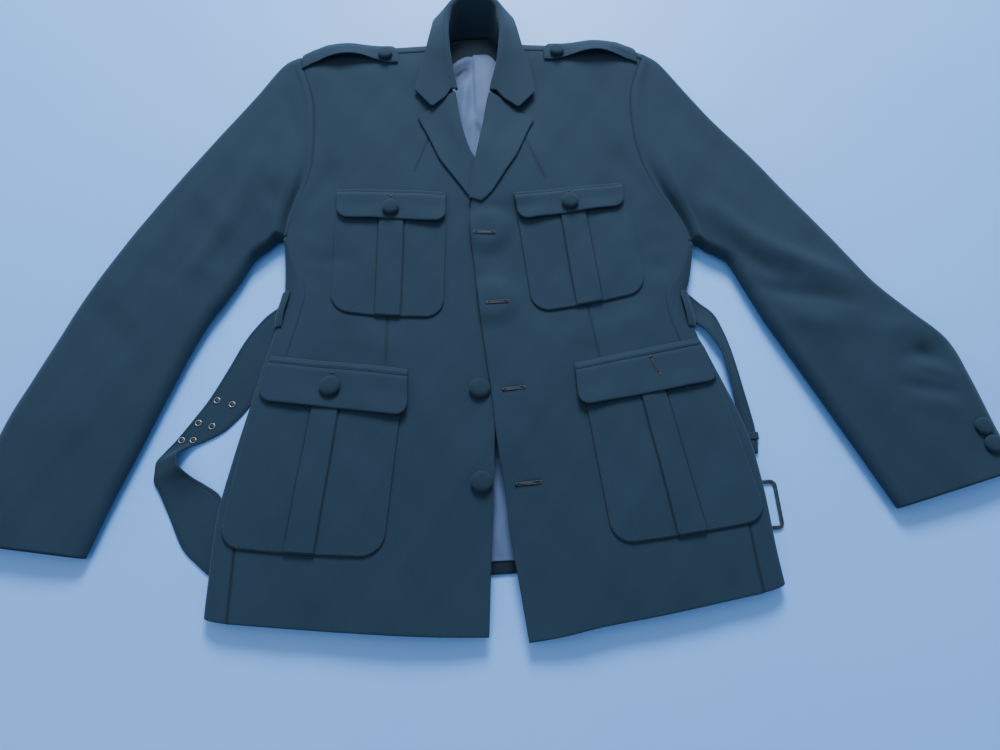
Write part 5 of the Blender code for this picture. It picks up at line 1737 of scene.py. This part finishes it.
SLIT_HALF, SLIT_THREAD, SLIT_RISE = 1.3, 0.5, 0.35  # half width of its loop, and its thread
BAR_HALF = 2.2  # half the length of the bar across a buttonhole's end
EYE = ((0.1, 0), (1.6, 0.02), (1.6, 0.45), (0.1, 0.5))  # radii and heights of the near-black disc of painted shade in its eye


def slot_path(start, stop, half, turns=6):
    """A long round-ended loop in plan."""
    along = (stop - start) / np.linalg.norm(stop - start)
    side = np.array([-along[1], along[0]])
    points = []
    for centre, base in ((stop, -90), (start, 90)):
        for step in range(turns + 1):
            angle = math.radians(base + 180 * step / turns)
            points.append(centre + half * (math.cos(angle) * along + math.sin(angle) * side))
        other = start if base == -90 else stop
        sign = 1 if base == -90 else -1
        for share in np.linspace(0, 1, 9)[1:-1]:
            points.append(centre + (other - centre) * share + sign * half * side)
    return np.array(points)


def buttonhole(name, grid, side, line):
    """Thread round a slit, with an eye at its start and a bar at its end; the slit and the eye are near-black
    painted shade.
    """
    x1, y1, x2, y2 = line
    start = np.array([SIGN[side] * x1 - HOME[0], y1 - HOME[1]], float)
    stop = np.array([SIGN[side] * x2 - HOME[0], y2 - HOME[1]], float)
    pieces = []
    loop = slot_path(start, stop, SLIT_HALF)
    z = np.array([grid_height(grid, x, y) for x, y in loop]) + SLIT_RISE
    loop = np.column_stack([loop, z])
    up = np.tile([0.0, 0.0, 1.0], (len(loop), 1))
    along = np.roll(loop, -1, axis=0) - np.roll(loop, 1, axis=0)
    along /= np.linalg.norm(along, axis=1, keepdims=True)
    across = np.cross(up, along)
    turn = np.linspace(0, 2 * math.pi, 8, endpoint=False)
    rings = loop[:, None] + SLIT_THREAD * (
        np.cos(turn)[None, :, None] * across[:, None] + 0.7 * np.sin(turn)[None, :, None] * up[:, None]
    )
    pieces.append(ring_mesh(name + "_loop", rings, HOLE_THREAD))
    low, up = np.mean(z) - 0.25, [[0, 0, 1]]
    pieces.append(capsules(name + "_slit", [[*start, low]], [[*stop, low]], up, 0.85, 0.5, PAINTED_GAP_SHADE))
    place = np.array([*start, low + 0.1])
    pieces.append(lathe(name + "_eye", place, up[0], EYE, PAINTED_GAP_SHADE, 12))
    half = BAR_HALF * np.array([-(stop - start)[1], (stop - start)[0], 0]) / np.linalg.norm(stop - start)
    bar = np.array([*stop, low + 0.75])
    pieces.append(capsules(name + "_bar", [bar - half], [bar + half], up, 0.6, 0.7, HOLE_THREAD))
    dress(joined(pieces, name))


def make_sewing():
    starts, stops, normals = (np.concatenate([line[k] for line in STITCHES]) for k in range(3))
    dress(capsules("edge_stitches", starts, stops, normals, 0.3, 0.75, SEWING))
    for number, hole in enumerate(FRONT_HOLES, 1):
        buttonhole(f"front_buttonhole_{number}", FRONT_GRID["left"], "left", hole)
    for name, hole in FLAP_HOLES.items():
        side = "right" if name.endswith("right") else "left"
        buttonhole(name.replace("flap", "hole"), FLAP_GRID[name], side, hole)


# Belt


BELT_FIRST_STITCH = 1.5


def belt_grid(side, step=2.4):
    rows = BELT[side]
    index = stations(20 * (len(rows["y1"]) - 1), step) * (len(rows["y1"]) - 1)
    across = stations(42 if side == "right" else 18, 2.2)[None, :]
    grid = []
    for k in ("out", "y", "z"):
        first, second = smooth(rows[f"{k}1"], index)[:, None], smooth(rows[f"{k}2"], index)[:, None]
        grid.append(first * (1 - across) + second * across)
    low = np.stack(grid, axis=-1)
    normal = surface_normals(low)
    normal = normal * np.sign(normal[..., 2:3].mean())
    return low, low + normal * BELT_THICK


def make_belt(side):
    low, high = belt_grid(side)
    carries = [make_keeper()] if side == "left" else []
    grids = [lay_grid(side, points) for points in (high, low)]
    reach = arcs(grids[0])
    dent = edge_line(np.minimum(reach[2], reach[3]))
    dress_cloth(f"belt_{side}", *grids, [], edges=ALL_FOLDED, dent=dent, carries=carries)
    for distance in (reach[2], reach[3]):
        path = []
        for row, away in zip(grids[0], distance):
            order = np.argsort(away)
            path.append([np.interp(EDGE_LINE, away[order], row[order, axis]) for axis in range(3)])
        ends, places, run = stitch_ends(np.array(path), BELT_FIRST_STITCH)
        normals = surface_normals(grids[0])[:, grids[0].shape[1] // 2]
        normals = np.stack([np.interp(places, run, normals[:, k]) for k in range(3)], axis=-1)
        STITCHES.append((*ends, normals * np.sign(normals[:, 2:3].mean())))


EYELET = {"radius": 3.1, "wide": 0.62, "low": 0.2, "high": 0.5}  # its rim and the rim's section
# a near-black disc of painted shade in the eyelet's hole
EYELET_HOLE = ((0.1, -0.2), (2.7, -0.15), (2.7, 0.02), (0.1, 0.08))


def make_eyelets():
    edges = []
    for edge in "12":
        edges.append(np.stack([BELT["right"][f"{k}{edge}"] for k in ("out", "y", "z")], axis=-1))
    for number, (row, share, rise) in enumerate(zip(*EYELETS.values()), 1):
        row = int(row)
        middle = edges[0] + (edges[1] - edges[0]) * share
        across = (edges[1] - edges[0])[row]
        across = across / np.linalg.norm(across)
        along = middle[row + 1] - middle[row - 1]
        along = along - across * np.dot(along, across)
        along /= np.linalg.norm(along)
        normal = np.cross(along, across)
        normal *= np.sign(normal[2])
        centre = middle[row] + normal * (BELT_THICK + 0.25 + rise)
        turn = np.linspace(0, 2 * math.pi, 32, endpoint=False)[:, None, None]
        section = np.linspace(0, 2 * math.pi, 10, endpoint=False)
        radius = (EYELET["radius"] + EYELET["wide"] * np.cos(section))[None, :, None]
        high = (EYELET["low"] + EYELET["high"] * np.sin(section))[None, :, None]
        ring = centre + radius * (np.cos(turn) * across + np.sin(turn) * along) + high * normal
        ring = lay_grid("right", ring)
        rim = ring_mesh(f"eyelet_rim_{number}", ring, METAL)
        place = lay("right", *centre)
        way = lay("right", *(centre + normal)) - place
        # painted shade in the hole
        painted_shade = lathe(f"eyelet_hole_{number}", place, way, EYELET_HOLE, PAINTED_GAP_SHADE, 16)
        dress(joined([rim, painted_shade], f"eyelet_{number}"), [f"belt_eyelet_{number}"])


def rounded_loop(x, y, corner, steps=9):
    points = []
    centres = ((x[1] - corner, y[1] - corner), (x[0] + corner, y[1] - corner))
    centres += ((x[0] + corner, y[0] + corner), (x[1] - corner, y[0] + corner))
    for quarter, (cx, cy) in enumerate(centres):
        for step in range(steps):
            angle = math.pi / 2 * (quarter + step / (steps - 1))
            points.append((cx + corner * math.cos(angle), cy + corner * math.sin(angle)))
    return np.array(points)


def make_buckle():
    """A flat frame with rounded edges."""
    width, thick = BUCKLE["width"], BUCKLE["thick"]
    sections = np.linspace(0, 2 * math.pi, 14, endpoint=False)
    rings = []
    for angle in sections:
        c, s = math.cos(angle), math.sin(angle)
        wide = width / 2 * (1 + np.sign(c) * abs(c) ** 0.5)
        high = BUCKLE["floor"] + thick / 2 * (1 + np.sign(s) * abs(s) ** 0.5)
        x = (BUCKLE["x"][0] + wide, BUCKLE["x"][1] - wide)
        y = (BUCKLE["y"][0] + wide, BUCKLE["y"][1] - wide)
        loop = rounded_loop(x, y, BUCKLE["corner"] - wide)
        rings.append(lay("left", loop[:, 0], loop[:, 1], high))
    obj = ring_mesh("buckle_frame", np.stack(rings, axis=1), BUCKLE_METAL)
    dress(obj, ["belt_buckle"])


def make_keeper():
    (x1, x2), thick, inner = KEEPER["x"], KEEPER["thick"], KEEPER["inner"]
    high = 2 * thick + inner
    y = KEEPER["y"][0] + (KEEPER["y"][1] - KEEPER["y"][0]) * stations(*MESH["keeper_along"])
    turn = np.radians(np.linspace(90, -90, 13))
    grids = []
    for inset in (0.0, thick):
        half = high / 2 - inset
        flat = np.linspace(x1, x2 - high / 2, 8)[:-1]
        x = np.concatenate([flat, x2 - high / 2 + half * np.cos(turn), flat[::-1]])
        z = np.concatenate([np.full(7, high - inset), high / 2 + half * np.sin(turn), np.full(7, inset)])
        grids.append(np.stack([lay("left", x, np.full(len(x), row), z) for row in y]))
    obj = shell("belt_keeper_cloth", *grids, TWILL, edges=("fold", "fold", None, None))
    return dress(obj, ["belt_keeper"])


def make_belt_loop(side):
    low_y, high_y = BELT_LOOP[side]
    angles = np.radians(2 + 48 * stations(*MESH["loop_across"]))
    grids = []
    for thick in (LOOP_WALL, 0):
        rows = []
        for share in stations(*MESH["loop_along"]):
            y = low_y + (high_y - low_y) * share
            stand = GAP + 0.4 + LOOP_STAND * math.sin(math.pi * share) ** 0.8 + thick
            edge, high = side_edge(side, y), float(curve(HEIGHT, "y", "seam")(y))
            roll = top_roll(side, y)
            out = edge - roll + (roll + stand) * np.cos(angles)
            z = EDGE_HEIGHT + (high - EDGE_HEIGHT + stand) * np.sin(angles)
            rows.append(lay(side, out, np.full(len(angles), y), z))
        grids.append(np.stack(rows))
    dress_cloth(f"belt_loop_{side}", *grids, [f"side_{side}_cloth"], edges=ALL_FOLDED)


# Stage


CAMERA = {  # in the frame of the number tables, in metres; lens and sensor in millimetres
    "place": (-0.0104, -0.0979, 0.787),
    "forward": (0.0203, 0.3741, -0.9272),
    "right": (0.9985, -0.0541, 0.0),
    "lens": 27.0,
    "sensor": 36.0,
    "nearest": 0.02,
}
FLOOR_DARK, FLOOR_LIGHT = (0.14, 0.4, 1.0), (0.19, 0.46, 1.0)
SKY = {"colour": (0.78, 0.88, 1.0), "strength": 0.6}
LAMPS = (
    ("window", (0.15, 1.9, 1.6), (0.0, 0.05, 0.0), 1.1, 100.0, (0.9, 0.97, 1.0)),
    ("room", (-1.0, -0.4, 2.2), (0.0, 0.0, 0.0), 2.4, 10.0, (1.0, 0.99, 0.97)),
)


def make_floor():
    """A pale matt table top."""
    material, tree, shader = new_material("table_top", (0.42, 0.6, 0.86), 0.55)
    cloud = texture(tree, "ShaderNodeTexNoise", 3.0, coords="Object", detail=5.0)
    grain = texture(tree, "ShaderNodeTexNoise", 240, coords="Object", detail=3.0)
    share = weighted_sum(tree, (cloud, 0.7), (grain, 0.3))
    shade = blend_colours(tree, share, FLOOR_DARK, FLOOR_LIGHT)
    tree.links.new(shade, shader.inputs["Base Color"])
    bump(tree, shader, grain.outputs["Fac"], 0.1, 0.0004)
    mesh = bpy.data.meshes.new("table_top")
    size, low = 6.0, -0.0006
    corners = [(-size, -size, low), (size, -size, low), (size, size, low), (-size, size, low)]
    mesh.from_pydata(corners, [], [(0, 1, 2, 3)])
    mesh.materials.append(material)
    floor = bpy.data.objects.new("table_top", mesh)
    bpy.context.scene.collection.objects.link(floor)


def make_camera():
    camera = bpy.data.objects.new("photo_camera", bpy.data.cameras.new("photo_camera"))
    right = Vector(CAMERA["right"]).normalized()
    forward = Vector(CAMERA["forward"]).normalized()
    up = right.cross(forward)
    matrix = Matrix((right, up, -forward)).transposed().to_4x4()
    place = [value - home * MM for value, home in zip(CAMERA["place"], (*HOME, 0.0))]
    matrix.translation = Vector(place)
    camera.matrix_world = matrix
    camera.data.lens = CAMERA["lens"]
    camera.data.sensor_width = CAMERA["sensor"]
    camera.data.clip_start = CAMERA["nearest"]
    bpy.context.scene.collection.objects.link(camera)
    bpy.context.scene.camera = camera


def make_light():
    """Soft daylight from beyond the collar."""
    world = bpy.data.worlds.new("daylight")
    world.use_nodes = True
    back = world.node_tree.nodes["Background"]
    back.inputs["Color"].default_value = (*SKY["colour"], 1)
    back.inputs["Strength"].default_value = SKY["strength"]
    bpy.context.scene.world = world
    for name, place, aim, size, power, colour in LAMPS:
        lamp = bpy.data.objects.new(name, bpy.data.lights.new(name, "AREA"))
        lamp.data.energy, lamp.data.color = power, colour
        lamp.data.shape, lamp.data.size = "DISK", size
        lamp.location = place
        lamp.rotation_euler = (Vector(aim) - Vector(place)).to_track_quat("-Z", "Y").to_euler()
        bpy.context.scene.collection.objects.link(lamp)


def main():
    make_floor()
    make_camera()
    make_light()
    for build in (make_front, make_side, make_sleeve, make_lapel, make_strap, make_belt, make_belt_loop):
        for side in ("right", "left"):
            build(side)
    make_back()
    make_lining()
    make_neck_facing()
    make_collar()
    for name in POCKETS:
        make_bag(name)
    for name in FLAPS:
        make_flap(name)
    make_buttons()
    make_eyelets()
    make_buckle()
    make_sewing()


main()
